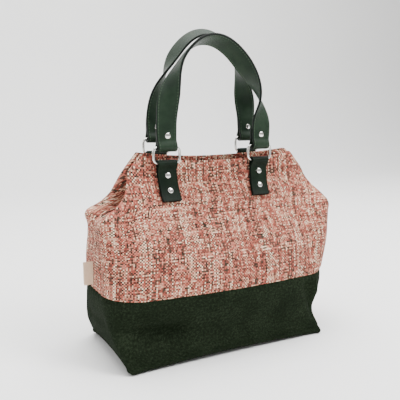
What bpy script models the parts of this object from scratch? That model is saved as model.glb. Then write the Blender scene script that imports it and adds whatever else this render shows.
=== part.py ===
# Handbag: a tweed upper on a dark wool base, with two strap handles on four rings.
# Metres, +Z up. The front is -Y, the left end is -X, and the base rests on Z = 0.

import math

import bmesh
import bpy
from mathutils import Vector

MM = 0.001

# Clearances
GAP = 0.3 * MM                  # between two pieces that touch
PANEL_GAP = 0.7 * MM            # between a tab and the bowed panel behind it
WRAP_GAP = 0.6 * MM             # between a ring's wire and the leather folded round it

# Cloth body
WALL = 2.2 * MM                 # tweed or wool with its facing
BASE_WIDTH = 306 * MM
BASE_DEPTH = 160 * MM
BASE_CORNER = 6 * MM            # plan radius of the boxed corners
BASE_FOLD = 4 * MM              # radius of the fold round the base
BASE_LIFT = 4.5 * MM            # the middle of each base edge stands this far off the ground
SEAM_HEIGHT = 96 * MM           # where tweed meets wool
SEAM_WIDTH = 352 * MM
SEAM_DEPTH = 176 * MM
SEAM_CORNER = 44 * MM
SHOULDER_HEIGHT = 200 * MM
SHOULDER_WIDTH = 375 * MM
SHOULDER_DEPTH = 90 * MM
SHOULDER_CORNER = 16 * MM
LIP_HEIGHT = 274 * MM           # the front lip at the two ends of the mouth
MOUTH_WIDTH = 252 * MM
LIP_SPREAD = 24 * MM            # between the outer faces of the lips, mid-way
LIP_SAG = 8 * MM
BACK_LIP_RISE = 6 * MM
FOLD_RADIUS = 3.3 * MM          # of the middle of the wall, round the tucked ends of the mouth
FLANK_CUT = 0.8                 # share of a tuck's flank that its outer fold rounds off
TUCK_CUT = 0.85                 # share of the fold radius that its inner fold rounds off
TUCK_DEPTH = 26 * MM            # the folded ends reach this far into the bag
DENT_DEPTH = 7 * MM

# Tabs
TAB_SPREAD = 152 * MM           # between the two tabs of one panel
TAB_SHIFT = 3 * MM              # the tabs and handles stand this far to the right
TAB_WIDTH = 29 * MM
TAB_LEATHER = 2.2 * MM
TAB_DROP = 53 * MM              # from the ring's lower bar to the end of the tab
TAB_LEAN = 3 * MM               # the tabs come together by this much at their ends
RING_SEAT_HEIGHT = 265.5 * MM   # the lower bar of a front ring
BACK_TAB_RISE = 11 * MM

# Rings
RING_WIDTH = 43 * MM
RING_HEIGHT = 27 * MM
RING_WIRE = 3.6 * MM
RING_SQUARENESS = 4.0           # 2 is an ellipse

# Handles
HANDLE_WIDTH = 30 * MM
HANDLE_FOOT_WIDTH = 28.5 * MM   # squeezed where it passes through a ring
HANDLE_LEATHER = 3.6 * MM       # two layers sewn together
FRONT_HANDLE_RISE = 147 * MM    # from a ring's upper bar to the top of the arch
BACK_HANDLE_RISE = 151 * MM
HANDLE_LAP = 24 * MM            # the folded-back end, above the ring's upper bar
HANDLE_TOP_OFFSET = 19 * MM     # from the bag's middle plane to the top of each arch
FRONT_HANDLE_SKEW = -8 * MM     # the top of the arch sits this far to the left
BACK_HANDLE_SKEW = 5 * MM
FRONT_HANDLE_BULGE = 3 * MM     # the legs of the arch bend out by this much, half-way up
BACK_HANDLE_BULGE = 0.5 * MM
HANDLE_TURN = math.radians(12)  # the legs turn this far towards the right end
HANDLE_ARCH = 2.05              # exponent of the arch, 2 is an ellipse
HANDLE_TILT = math.radians(22)  # the tops roll towards each other
TWIST_START = 26 * MM           # above the ring's upper bar the strap begins to turn flat
TWIST_END = 123 * MM            # and here it lies flat
FACING_SETTLED = 70 * MM        # and here its legs have turned towards the right end

# Rivets
RIVET_CAP = 8.4 * MM
RIVET_CAP_HEIGHT = 2.2 * MM
RIVET_BACK = 7.4 * MM
RIVET_BACK_HEIGHT = 1.2 * MM
RIVET_POST = 2.8 * MM
CAP_DOME = ((0.97, 0.35), (0.62, 0.88))     # shares of the cap's radius and height
CAP_MARGIN = 1 * MM             # flat leather between a cap and the bend beside it
UPPER_RIVET_DROP = 17 * MM      # below the ring's lower bar
LOWER_RIVET_DROP = 39 * MM
HANDLE_RIVET_RISE = 15 * MM     # above the ring's upper bar

# Side label
LABEL_HEIGHT = 32 * MM
LABEL_REACH = 13 * MM
LABEL_CLOTH = 0.8 * MM
LABEL_BEND = 0.64 * MM          # of the middle of the ribbon, round its fold
LABEL_ABOVE_SEAM = 8 * MM

# Mesh counts
PANEL_STEPS = 10
FLOOR_RINGS = (0.36, 0.72)
LAYER_STEPS = 5
WRAP_STEPS = 8
HANDLE_STEPS = 60
ARCH_SAMPLES = 400
LOOP_SHARES = (0.3, 0.65)       # where a strap has sections between its loop and its flat part
RING_STEPS = 20
RING_SIDES = 6
RIVET_SIDES = 8

# The four stations of the body. left and right are half widths, ridge is the half depth at the
# panel's ends, middle the half depth mid-way, and tuck the depth of the fold in each end.
STATIONS = {
    "base": dict(height=0.0, left=BASE_WIDTH * 0.494, right=BASE_WIDTH * 0.506, ridge=BASE_DEPTH / 2,
                 middle=BASE_DEPTH / 2, corner=BASE_CORNER, tuck=0.0),
    "seam": dict(height=SEAM_HEIGHT, left=SEAM_WIDTH * 0.495, right=SEAM_WIDTH * 0.505,
                 ridge=SEAM_DEPTH * 0.42, middle=SEAM_DEPTH / 2, corner=SEAM_CORNER, tuck=0.0),
    "shoulder": dict(height=SHOULDER_HEIGHT, left=SHOULDER_WIDTH * 0.464,
                     right=SHOULDER_WIDTH * 0.536, ridge=SHOULDER_DEPTH / 2,
                     middle=SHOULDER_DEPTH * 0.37, corner=SHOULDER_CORNER, tuck=TUCK_DEPTH * 0.45),
    "mouth": dict(height=LIP_HEIGHT, left=MOUTH_WIDTH * 0.43, right=MOUTH_WIDTH * 0.57,
                  ridge=FOLD_RADIUS * 3, middle=(LIP_SPREAD - WALL) / 2, corner=FOLD_RADIUS,
                  tuck=TUCK_DEPTH),
}
COLUMNS = ("height", "left", "right", "ridge", "middle", "corner", "tuck")

# Sections between the stations: each number is a share of the way from the lower one to the upper.
SECTIONS = {
    ("base", "seam"): (
        # height, left, right, ridge, middle, corner, tuck
        (0.16, 0.34, 0.00, 0.10, 0.12, 0.10, 0.0),
        (0.36, 0.68, 0.05, 0.20, 0.30, 0.30, 0.0),
        (0.60, 0.88, 0.30, 0.40, 0.58, 0.60, 0.0),
        (0.82, 0.97, 0.75, 0.75, 0.86, 0.85, 0.0),
    ),
    ("seam", "shoulder"): (
        (0.22, -0.30, 0.25, 0.06, 0.06, 0.10, 0.0),
        (0.45, -0.60, 0.50, 0.24, 0.26, 0.35, 0.0),
        (0.68, -0.20, 0.76, 0.52, 0.56, 0.62, 0.0),
        (0.86, 0.45, 0.94, 0.78, 0.82, 0.85, 0.3),
    ),
    ("shoulder", "mouth"): (
        (0.14, 0.26, 0.10, 0.30, 0.30, 0.32, 0.45),
        (0.30, 0.45, 0.27, 0.62, 0.54, 0.64, 0.75),
        (0.50, 0.58, 0.48, 0.84, 0.76, 0.86, 0.90),
        (0.76, 0.77, 0.74, 0.95, 0.92, 0.97, 1.00),
    ),
}

# Dents of the cloth. facing is the side of the bag, across and up are shares of the half size
# along that side and of the lip height, reach_across and reach_up how far the dent fades over,
# and depth a share of the dent depth.
DENT_COLUMNS = ("facing", "across", "up", "reach_across", "reach_up", "depth")
DENTS = (
    ((1, -0.4), -0.62, 0.155, 0.55, 0.085, 1.0),
    ((0, -1), -0.62, 0.175, 0.24, 0.045, 0.6),
    ((-1, 0), 0.10, 0.600, 0.50, 0.075, 0.5),
    ((0, -1), 0.20, 0.560, 0.16, 0.090, 0.5),
    ((0, -1), -0.30, 0.520, 0.10, 0.110, -0.4),
    ((0, 1), 0.10, 0.480, 0.30, 0.120, 0.6),
    ((0, 1), -0.45, 0.200, 0.30, 0.060, 0.5),
)

FRONT = -1
BACK = 1
LEFT = -1
RIGHT = 1
UP = Vector((0, 0, 1))


def smooth(share):
    share = min(max(share, 0.0), 1.0)
    return share * share * (3 - 2 * share)


def body_rows():
    rows = [STATIONS["base"]]
    for (lower_name, upper_name), sections in SECTIONS.items():
        lower = STATIONS[lower_name]
        upper = STATIONS[upper_name]
        for shares in sections:
            rows.append({name: lower[name] + share * (upper[name] - lower[name])
                         for name, share in zip(COLUMNS, shares)})
        rows.append(upper)
    return rows


ROWS = body_rows()


def section_at(height):
    # A smooth curve through the rows, column by column.
    index = 0
    while index < len(ROWS) - 2 and ROWS[index + 1]["height"] < height:
        index += 1
    before = ROWS[max(index - 1, 0)]
    start = ROWS[index]
    end = ROWS[index + 1]
    after = ROWS[min(index + 2, len(ROWS) - 1)]
    span = end["height"] - start["height"]
    t = (height - start["height"]) / span
    section = {"height": height}
    for name in COLUMNS[1:]:
        slope_in = (end[name] - before[name]) / (end["height"] - before["height"]) * span
        slope_out = (after[name] - start[name]) / (after["height"] - start["height"]) * span
        section[name] = ((2 * t ** 3 - 3 * t ** 2 + 1) * start[name]
                         + (t ** 3 - 2 * t ** 2 + t) * slope_in
                         + (3 * t ** 2 - 2 * t ** 3) * end[name]
                         + (t ** 3 - t ** 2) * slope_out)
    return section


def rounded(before, corner, after, cut, steps):
    # The arc that rounds a corner, starting a cut length before it.
    into = (corner - before).normalized()
    out = (after - corner).normalized()
    start = corner - into * cut
    end = corner + out * cut
    weight = math.sqrt(max((1 + into.dot(out)) / 2, 0.0))
    points = []
    for step in range(steps + 1):
        t = step / steps
        parts = ((1 - t) ** 2, 2 * weight * t * (1 - t), t ** 2)
        points.append((start * parts[0] + corner * parts[1] + end * parts[2]) / sum(parts))
    return points


def end_corners(reach, section, hand):
    # The corners of one end of the plan, from the front ridge through the tuck to the back ridge.
    ridge = section["ridge"]
    corner = section["corner"]
    inner = (ridge - corner) / 2
    tucked = reach - section["tuck"]
    flank = math.hypot(section["tuck"], inner - FOLD_RADIUS) - FOLD_RADIUS
    half = [((reach, -ridge), corner, 3, 1),
            ((reach, -inner), min(inner, flank) * FLANK_CUT, 3, 2),
            ((tucked, -FOLD_RADIUS), FOLD_RADIUS * TUCK_CUT, 2, 1)]
    back = [((x, -y), cut, steps, run) for (x, y), cut, steps, run in reversed(half)]
    runs = [run for _, _, _, run in half] + [2, 1]
    corners = [(Vector((hand * x, y)), cut, steps) for (x, y), cut, steps, _ in half + back]
    return corners, runs


def plan(section):
    # The closed plan of the wall's middle, counter-clockwise from the left end of the front panel.
    right, runs = end_corners(section["right"], section, RIGHT)
    left, _ = end_corners(section["left"], section, LEFT)
    corners = right + left[::-1]
    straight = runs + [PANEL_STEPS] + runs[::-1] + [PANEL_STEPS]
    arcs = []
    for index, (corner, cut, steps) in enumerate(corners):
        before = corners[index - 1][0]
        after = corners[(index + 1) % len(corners)][0]
        arcs.append(rounded(before, corner, after, cut, steps))
    points = []
    for index, arc in enumerate(arcs):
        following = arcs[(index + 1) % len(arcs)][0]
        points += arc
        for step in range(1, straight[index]):
            points.append(arc[-1].lerp(following, step / straight[index]))
    return [Vector((p.x, p.y * bow(section, p.x))) for p in points]


def bow(section, x):
    reach = section["right"] if x > 0 else section["left"]
    inward = 1 - min(abs(x) / reach, 1.0) ** 2
    return 1 + (section["middle"] / section["ridge"] - 1) * inward


def lip_height(section, x, y):
    reach = section["right"] if x > 0 else section["left"]
    inward = 1 - min(abs(x) / reach, 1.0) ** 2
    behind = min(max(0.5 + 0.5 * y / section["ridge"], 0.0), 1.0)
    return LIP_HEIGHT - LIP_SAG * inward + BACK_LIP_RISE * behind


def raised(section, x, y):
    # The height of a point of a section: the upper ones follow the lip.
    height = section["height"]
    if height <= SHOULDER_HEIGHT:
        return height
    share = (height - SHOULDER_HEIGHT) / (LIP_HEIGHT - SHOULDER_HEIGHT)
    return SHOULDER_HEIGHT + share * (lip_height(section, x, y) - SHOULDER_HEIGHT)


def base_lift(x, y):
    across = min(abs(x) / (BASE_WIDTH / 2), abs(y) / (BASE_DEPTH / 2), 1.0)
    return BASE_LIFT * (1 - across ** 2)


def wall_ring(height):
    section = section_at(height)
    fade = 1 - smooth(height / (SEAM_HEIGHT / 2))
    return [Vector((p.x, p.y, raised(section, p.x, p.y) + fade * base_lift(p.x, p.y)))
            for p in plan(section)]


def floor_rings():
    # The floor of the base out to its fold, as rings of the wall's middle.
    edge = plan(STATIONS["base"])
    inset = []
    for index, point in enumerate(edge):
        along = (edge[(index + 1) % len(edge)] - edge[index - 1]).normalized()
        inward = Vector((-along.y, along.x))
        inset.append((point, inward))
    rings = []
    for share in FLOOR_RINGS:
        rings.append([Vector(((p + n * BASE_FOLD).x * share, (p + n * BASE_FOLD).y * share, WALL / 2))
                      for p, n in inset])
    for turn in (0.0, 0.5):
        angle = turn * math.pi / 2
        back = BASE_FOLD * (1 - math.sin(angle))
        rise = WALL / 2 + BASE_FOLD * (1 - math.cos(angle))
        rings.append([Vector(((p + n * back).x, (p + n * back).y, rise + base_lift(p.x, p.y)))
                      for p, n in inset])
    return rings


def ring_normals(rings):
    normals = []
    count = len(rings[0])
    for row, ring in enumerate(rings):
        below = rings[max(row - 1, 0)]
        above = rings[min(row + 1, len(rings) - 1)]
        normals.append([(ring[(k + 1) % count] - ring[k - 1]).cross(above[k] - below[k]).normalized()
                        for k in range(count)])
    return normals


def dented(rings, normals):
    result = []
    for ring, ring_normal in zip(rings, normals):
        moved = []
        for point, normal in zip(ring, ring_normal):
            push = 0.0
            for entry in DENTS:
                dent = dict(zip(DENT_COLUMNS, entry))
                facing = Vector((*dent["facing"], 0)).normalized()
                seen = max(normal.dot(facing), 0.0)
                on_panel = dent["facing"][0] == 0
                place_share = point.x / (SEAM_WIDTH / 2) if on_panel else point.y / (SEAM_DEPTH / 2)
                across = (place_share - dent["across"]) / dent["reach_across"]
                up = (point.z / LIP_HEIGHT - dent["up"]) / dent["reach_up"]
                push += seen * dent["depth"] * math.exp(-across ** 2 - up ** 2)
            moved.append(point - normal * push * DENT_DEPTH)
        result.append(moved)
    return result


def body_surface():
    # The middle of the wall from the floor to the lip, split at the seam.
    heights = [row["height"] for row in ROWS[1:]]
    seam = heights.index(SEAM_HEIGHT)
    wool = [wall_ring(BASE_FOLD + WALL / 2)] + [wall_ring(h) for h in heights[:seam]]
    wool.append(wall_ring(SEAM_HEIGHT - GAP / 2))
    tweed = [wall_ring(SEAM_HEIGHT + GAP / 2)] + [wall_ring(h) for h in heights[seam + 1:]]
    rings = floor_rings() + wool + tweed
    normals = ring_normals(rings)
    rings = dented(rings, normals)
    normals = ring_normals(rings)
    split = len(rings) - len(tweed)
    # the two edges that meet at the seam are cut square to the same normals
    shared = [(low + high).normalized() for low, high in zip(normals[split - 1], normals[split])]
    normals[split - 1] = shared
    normals[split] = shared
    return (rings[:split], normals[:split]), (rings[split:], normals[split:])


def offset_rings(rings, normals, distance):
    return [[p + n * distance for p, n in zip(ring, ring_normal)]
            for ring, ring_normal in zip(rings, normals)]


def loft(mesh, rings):
    made = [[mesh.verts.new(p) for p in ring] for ring in rings]
    for lower, upper in zip(made, made[1:]):
        count = len(lower)
        for k in range(count):
            following = (k + 1) % count
            mesh.faces.new((lower[k], lower[following], upper[following], upper[k]))
    return made


def fan(mesh, ring, centre, flip):
    hub = mesh.verts.new(centre)
    for k, vert in enumerate(ring):
        following = ring[(k + 1) % len(ring)]
        mesh.faces.new((hub, following, vert) if not flip else (hub, vert, following))


def material(name, colour, roughness, metallic=0.0):
    made = bpy.data.materials.new(name)
    made.use_nodes = True
    shader = made.node_tree.nodes["Principled BSDF"]
    shader.inputs["Base Color"].default_value = (*colour, 1.0)
    shader.inputs["Roughness"].default_value = roughness
    shader.inputs["Metallic"].default_value = metallic
    return made


def place(name, mesh, finish, sharp=50.0):
    bmesh.ops.recalc_face_normals(mesh, faces=mesh.faces)
    data = bpy.data.meshes.new(name)
    mesh.to_mesh(data)
    mesh.free()
    data.shade_smooth()
    data.set_sharp_from_angle(angle=math.radians(sharp))
    data.materials.append(finish)
    made = bpy.data.objects.new(name, data)
    bpy.context.scene.collection.objects.link(made)
    return made


def make_wool_base(surface, finish):
    rings, normals = surface
    mesh = bmesh.new()
    inner = offset_rings(rings, normals, -WALL / 2)
    outer = offset_rings(rings, normals, WALL / 2)
    made = loft(mesh, outer + inner[::-1])
    fan(mesh, made[0], (0, 0, 0), flip=False)
    fan(mesh, made[-1], (0, 0, WALL), flip=True)
    return place("wool_base", mesh, finish)


def make_tweed_upper(surface, finish):
    rings, normals = surface
    mesh = bmesh.new()
    inner = offset_rings(rings, normals, -WALL / 2)
    outer = offset_rings(rings, normals, WALL / 2)
    loft(mesh, outer + inner[::-1] + outer[:1])
    bmesh.ops.remove_doubles(mesh, verts=mesh.verts, dist=MM / 1000)
    return place("tweed_upper", mesh, finish)


def panel_point(x, z, side):
    # The middle of a panel's wall at a place, with its outward normal and its level direction.
    def at(x, z):
        height = z
        for _ in range(4):
            section = section_at(min(height, LIP_HEIGHT))
            ridge = side * section["ridge"]
            top = lip_height(section, x, ridge)
            if z > SHOULDER_HEIGHT:
                share = (z - SHOULDER_HEIGHT) / (top - SHOULDER_HEIGHT)
                height = SHOULDER_HEIGHT + share * (LIP_HEIGHT - SHOULDER_HEIGHT)
        return Vector((x, ridge * bow(section, x), z))
    step = MM
    across = (at(x + step, z) - at(x - step, z)).normalized()
    upward = (at(x, z) - at(x, z - 2 * step)).normalized()
    return at(x, z), (across.cross(upward) * -side).normalized(), across


def ring_drop(half_width):
    # How far a ring's bar has curved away at the edge of the strap that it carries.
    half_x = (RING_WIDTH - RING_WIRE) / 2
    half_z = (RING_HEIGHT - RING_WIRE) / 2
    return half_z * (1 - (1 - (half_width / half_x) ** RING_SQUARENESS) ** (1 / RING_SQUARENESS))


TAB_LOOP = RING_WIRE / 2 + ring_drop(TAB_WIDTH / 2) + WRAP_GAP
HANDLE_LOOP = RING_WIRE / 2 + ring_drop(HANDLE_FOOT_WIDTH / 2) + WRAP_GAP
BACK_LAYER = WALL / 2 + PANEL_GAP + TAB_LEATHER / 2
FRONT_LAYER = BACK_LAYER + TAB_LEATHER + GAP
TAB_SETTLED = UPPER_RIVET_DROP - RIVET_CAP / 2 - CAP_MARGIN
HANDLE_SETTLED = HANDLE_RIVET_RISE - RIVET_CAP / 2 - CAP_MARGIN


class Seat:
    # Where a ring hangs on its tab: the two bars, the level direction and the outward one.
    def __init__(self, side, hand):
        self.side = side
        self.hand = hand
        self.x = TAB_SHIFT + hand * TAB_SPREAD / 2
        self.z = RING_SEAT_HEIGHT + (BACK_TAB_RISE if side == BACK else 0.0)
        point, normal, across = panel_point(self.x, self.z, side)
        self.across = across
        self.outward = Vector((normal.x, normal.y, 0)).normalized()
        self.lower_bar = point + self.outward * (BACK_LAYER + TAB_LEATHER / 2 + TAB_LOOP)
        self.upper_bar = self.lower_bar + UP * (RING_HEIGHT - RING_WIRE)
        self.label = f"{'front' if side == FRONT else 'back'}_{'left' if hand == LEFT else 'right'}"

    def on_panel(self, drop):
        x = self.x - self.hand * TAB_LEAN * drop / TAB_DROP
        return panel_point(x, self.z - drop, self.side)


def ribbon(name, frames, finish):
    # A strip swept along frames of centre, half width and half thickness.
    mesh = bmesh.new()
    rings = []
    for centre, across, out in frames:
        near = (centre - across - out, centre + across - out)
        far = (centre + across + out, centre - across + out)
        rings.append([*near, *far])
    made = loft(mesh, rings)
    mesh.faces.new(made[0])
    mesh.faces.new(made[-1][::-1])
    return place(name, mesh, finish, sharp=40.0)


def make_tab(seat, finish):
    half_width = TAB_WIDTH / 2
    half_leather = TAB_LEATHER / 2
    loop = TAB_LOOP + half_leather
    drops = [TAB_SETTLED * share for share in LOOP_SHARES]
    drops += [TAB_SETTLED + (TAB_DROP - TAB_SETTLED) * step / LAYER_STEPS
              for step in range(LAYER_STEPS + 1)]
    frames = []
    for drop in reversed(drops):
        point, normal, across = seat.on_panel(drop)
        frames.append((point + normal * BACK_LAYER, across * half_width, normal * -half_leather))
    for step in range(WRAP_STEPS + 1):
        angle = math.pi * step / WRAP_STEPS
        ray = seat.outward * -math.cos(angle) + UP * math.sin(angle)
        frames.append((seat.lower_bar + ray * loop, seat.across * half_width, ray * half_leather))
    for drop in drops:
        point, normal, across = seat.on_panel(drop)
        spare = BACK_LAYER + 2 * loop - FRONT_LAYER
        reach = FRONT_LAYER + spare * (1 - smooth(drop / TAB_SETTLED))
        frames.append((point + normal * reach, across * half_width, normal * half_leather))
    return ribbon(f"tab_{seat.label}", frames, finish)


def make_ring(seat, finish):
    half_x = (RING_WIDTH - RING_WIRE) / 2
    half_z = (RING_HEIGHT - RING_WIRE) / 2
    centre = (seat.lower_bar + seat.upper_bar) / 2
    path = []
    for step in range(RING_STEPS):
        angle = 2 * math.pi * step / RING_STEPS
        # evenly turned points of a squared ellipse
        c = math.cos(angle)
        s = math.sin(angle)
        total = abs(c / half_x) ** RING_SQUARENESS + abs(s / half_z) ** RING_SQUARENESS
        path.append(centre + (seat.across * c + UP * s) * total ** (-1 / RING_SQUARENESS))
    rings = []
    for index, point in enumerate(path):
        along = (path[(index + 1) % RING_STEPS] - path[index - 1]).normalized()
        out = along.cross(seat.outward).normalized()
        rings.append([point + (out * math.cos(a) + seat.outward * math.sin(a)) * RING_WIRE / 2
                      for a in (2 * math.pi * k / RING_SIDES for k in range(RING_SIDES))])
    mesh = bmesh.new()
    loft(mesh, rings + rings[:1])
    bmesh.ops.remove_doubles(mesh, verts=mesh.verts, dist=MM / 1000)
    return place(f"ring_{seat.label}", mesh, finish, sharp=70.0)


def arch_point(left, right, rise, skew, bulge, share):
    # One point of a handle's arch over its two feet.
    angle = math.pi * share
    power = 2 / HANDLE_ARCH
    side = math.copysign(abs(math.cos(angle)) ** power, math.cos(angle))
    climb = abs(math.sin(angle)) ** power
    middle = (left + right) / 2
    half = (right.x - left.x) / 2 + bulge * 4 * climb * (1 - climb)
    x = middle.x - half * side + skew * climb ** 2
    return Vector((x, 0, middle.z + rise * climb))


def resampled(points, count):
    lengths = [0.0]
    for first, second in zip(points, points[1:]):
        lengths.append(lengths[-1] + (second - first).length)
    result = []
    index = 0
    for step in range(count + 1):
        target = lengths[-1] * step / count
        while index < len(points) - 2 and lengths[index + 1] < target:
            index += 1
        share = (target - lengths[index]) / (lengths[index + 1] - lengths[index])
        result.append(points[index].lerp(points[index + 1], share))
    return result


def foot_offset(rise):
    # From a bar's middle to the middle of a layer that leaves it.
    loop = HANDLE_LOOP + HANDLE_LEATHER / 2
    laid = (HANDLE_LEATHER + GAP) / 2
    return laid + (loop - laid) * (1 - smooth(rise / HANDLE_SETTLED))


def foot_width(rise):
    return (HANDLE_FOOT_WIDTH + (HANDLE_WIDTH - HANDLE_FOOT_WIDTH) * smooth(rise / HANDLE_LAP)) / 2


def handle_foot(seat):
    # The folded-back end and the wrap under the ring's upper bar, ending on the outer side.
    half = HANDLE_LEATHER / 2
    frames = []
    rises = [HANDLE_LAP, (HANDLE_LAP + HANDLE_SETTLED) / 2, HANDLE_SETTLED]
    rises += [HANDLE_SETTLED * share for share in reversed(LOOP_SHARES)]
    for rise in rises:
        centre = seat.upper_bar + UP * rise - seat.outward * foot_offset(rise)
        frames.append((centre, seat.across * foot_width(rise), seat.outward * -half))
    for step in range(WRAP_STEPS + 1):
        angle = math.pi * step / WRAP_STEPS
        ray = seat.outward * -math.cos(angle) - UP * math.sin(angle)
        centre = seat.upper_bar + ray * (HANDLE_LOOP + half)
        frames.append((centre, seat.across * foot_width(0.0), ray * half))
    return frames


def make_handle(left, right, finish):
    side = left.side
    skew = FRONT_HANDLE_SKEW if side == FRONT else BACK_HANDLE_SKEW
    top = FRONT_HANDLE_RISE if side == FRONT else BACK_HANDLE_RISE
    bulge = FRONT_HANDLE_BULGE if side == FRONT else BACK_HANDLE_BULGE
    aside = Vector((math.sin(HANDLE_TURN), side * math.cos(HANDLE_TURN), 0))
    half = HANDLE_LEATHER / 2
    dense = [arch_point(left.upper_bar, right.upper_bar, top, skew, bulge, k / ARCH_SAMPLES)
             for k in range(ARCH_SAMPLES + 1)]
    path = resampled(dense, HANDLE_STEPS)
    centres = []
    outwards = []
    rises = []
    for point in path:
        rise = point.z - left.upper_bar.z
        share = smooth(rise / top)
        seat = left if point.x < (left.x + right.x) / 2 + skew else right
        faced = smooth((rise - HANDLE_LAP) / (FACING_SETTLED - HANDLE_LAP))
        outward = seat.outward.lerp(aside, faced).normalized()
        step_out = seat.outward * foot_offset(rise)
        foot = seat.upper_bar + step_out
        y = foot.y + (side * HANDLE_TOP_OFFSET - foot.y) * share
        centres.append(Vector((point.x + step_out.x * (1 - share), y, point.z)))
        outwards.append(outward)
        rises.append(rise)
    frames = []
    for index in range(1, len(centres) - 1):
        along = (centres[index + 1] - centres[index - 1]).normalized()
        facing = outwards[index] - along * outwards[index].dot(along)
        facing.normalize()
        over = facing.cross(along) * -side
        twisted = smooth((rises[index] - TWIST_START) / (TWIST_END - TWIST_START))
        turn = (math.pi / 2 + HANDLE_TILT) * twisted
        out = facing * math.cos(turn) + over * math.sin(turn)
        across = along.cross(out) * -side
        frames.append((centres[index], across * foot_width(rises[index]), out * half))
    near = handle_foot(left)
    far = [(centre, -across, out) for centre, across, out in handle_foot(right)[::-1]]
    return ribbon(f"handle_{'front' if side == FRONT else 'back'}", near + frames + far, finish)


def turned(name, profile, origin, axis, finish, sides=RIVET_SIDES):
    # A round piece from radius and height pairs, bottom to top, about an axis.
    side_a = axis.orthogonal().normalized()
    side_b = axis.cross(side_a)
    mesh = bmesh.new()
    rings = []
    for radius, height in profile[1:-1]:
        rings.append([origin + axis * height + (side_a * math.cos(a) + side_b * math.sin(a)) * radius
                      for a in (2 * math.pi * k / sides for k in range(sides))])
    made = loft(mesh, rings)
    fan(mesh, made[0], origin + axis * profile[0][1], flip=False)
    fan(mesh, made[-1], origin + axis * profile[-1][1], flip=True)
    return place(name, mesh, finish, sharp=40.0)


def make_rivet(name, seat_point, axis, grip, finish):
    # A domed cap outside, a post through the layers, and a flat back. grip is how thick they are.
    back = RIVET_BACK / 2
    cap = RIVET_CAP / 2
    post = RIVET_POST / 2
    length = grip + 2 * GAP
    dome = [(cap * radius, length + RIVET_CAP_HEIGHT * height) for radius, height in CAP_DOME]
    profile = ((0, -RIVET_BACK_HEIGHT), (back, -RIVET_BACK_HEIGHT), (back, 0), (post, 0),
               (post, length), (cap, length), *dome, (0, length + RIVET_CAP_HEIGHT))
    return turned(name, profile, seat_point - axis * GAP, axis, finish)


def hole_cutter(name, centres_and_axes, length, finish):
    mesh = bmesh.new()
    radius = RIVET_POST / 2 + GAP
    for centre, axis in centres_and_axes:
        side_a = axis.orthogonal().normalized()
        side_b = axis.cross(side_a)
        rings = [[centre + axis * reach + (side_a * math.cos(a) + side_b * math.sin(a)) * radius
                  for a in (2 * math.pi * k / RIVET_SIDES for k in range(RIVET_SIDES))]
                 for reach in (-length / 2, length / 2)]
        made = loft(mesh, rings)
        mesh.faces.new(made[0][::-1])
        mesh.faces.new(made[1])
    cutter = place(name, mesh, finish)
    cutter.hide_render = True
    cutter.display_type = "WIRE"
    return cutter


def drill(piece, cutter):
    cut = piece.modifiers.new("rivet holes", "BOOLEAN")
    cut.operation = "DIFFERENCE"
    cut.solver = "EXACT"
    cut.object = cutter


def make_label(finish):
    # A bare folded ribbon caught in the seam of the left end.
    section = section_at(SEAM_HEIGHT + LABEL_ABOVE_SEAM + LABEL_HEIGHT / 2)
    root = -section["left"] - WALL / 2 - GAP * 2
    middle = SEAM_HEIGHT + LABEL_ABOVE_SEAM + LABEL_HEIGHT / 2
    tip = root - LABEL_REACH + LABEL_BEND
    up = UP * LABEL_HEIGHT / 2
    half = LABEL_CLOTH / 2
    frames = [(Vector((root, -LABEL_BEND, middle)), up, Vector((0, -half, 0)))]
    for step in range(LAYER_STEPS + 1):
        angle = math.pi * step / LAYER_STEPS
        ray = Vector((-math.sin(angle), -math.cos(angle), 0))
        frames.append((Vector((tip, 0, middle)) + ray * LABEL_BEND, up, ray * half))
    frames.append((Vector((root, LABEL_BEND, middle)), up, Vector((0, half, 0))))
    return ribbon("side_label", frames, finish)


def main():
    for old in list(bpy.data.objects):
        bpy.data.objects.remove(old)
    tweed = material("tweed", (0.56, 0.27, 0.22), 0.95)
    wool = material("dark_wool", (0.03, 0.045, 0.03), 0.95)
    leather = material("green_leather", (0.02, 0.05, 0.035), 0.45)
    nickel = material("nickel", (0.72, 0.70, 0.66), 0.2, 1.0)
    cotton = material("cream_ribbon", (0.75, 0.62, 0.50), 0.9)

    wool_surface, tweed_surface = body_surface()
    make_wool_base(wool_surface, wool)
    upper = make_tweed_upper(tweed_surface, tweed)
    make_label(cotton)

    seats = [Seat(side, hand) for side in (FRONT, BACK) for hand in (LEFT, RIGHT)]
    tab_grip = FRONT_LAYER + (TAB_LEATHER + WALL) / 2
    panel_holes = []
    for seat in seats:
        make_ring(seat, nickel)
        tab = make_tab(seat, leather)
        holes = []
        for place_name, drop in (("upper", UPPER_RIVET_DROP), ("lower", LOWER_RIVET_DROP)):
            point, normal, _ = seat.on_panel(drop)
            back = point - normal * WALL / 2
            make_rivet(f"rivet_{seat.label}_{place_name}", back, normal, tab_grip, nickel)
            holes.append((point, normal))
        drill(tab, hole_cutter(f"holes_tab_{seat.label}", holes, 2 * tab_grip + 4 * WALL, leather))
        panel_holes += holes
    drill(upper, hole_cutter("holes_upper", panel_holes, 4 * WALL, tweed))

    for left, right in (seats[:2], seats[2:]):
        handle = make_handle(left, right, leather)
        holes = []
        for seat in (left, right):
            back = seat.upper_bar + UP * HANDLE_RIVET_RISE - seat.outward * (HANDLE_LEATHER + GAP / 2)
            grip = 2 * HANDLE_LEATHER + GAP
            make_rivet(f"rivet_handle_{seat.label}", back, seat.outward, grip, nickel)
            holes.append((back + seat.outward * grip / 2, seat.outward))
        drill(handle, hole_cutter(f"holes_{handle.name}", holes, 2 * grip, leather))


main()
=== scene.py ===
import math

import bmesh
import bpy
from mathutils import Matrix, Vector, noise


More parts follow.
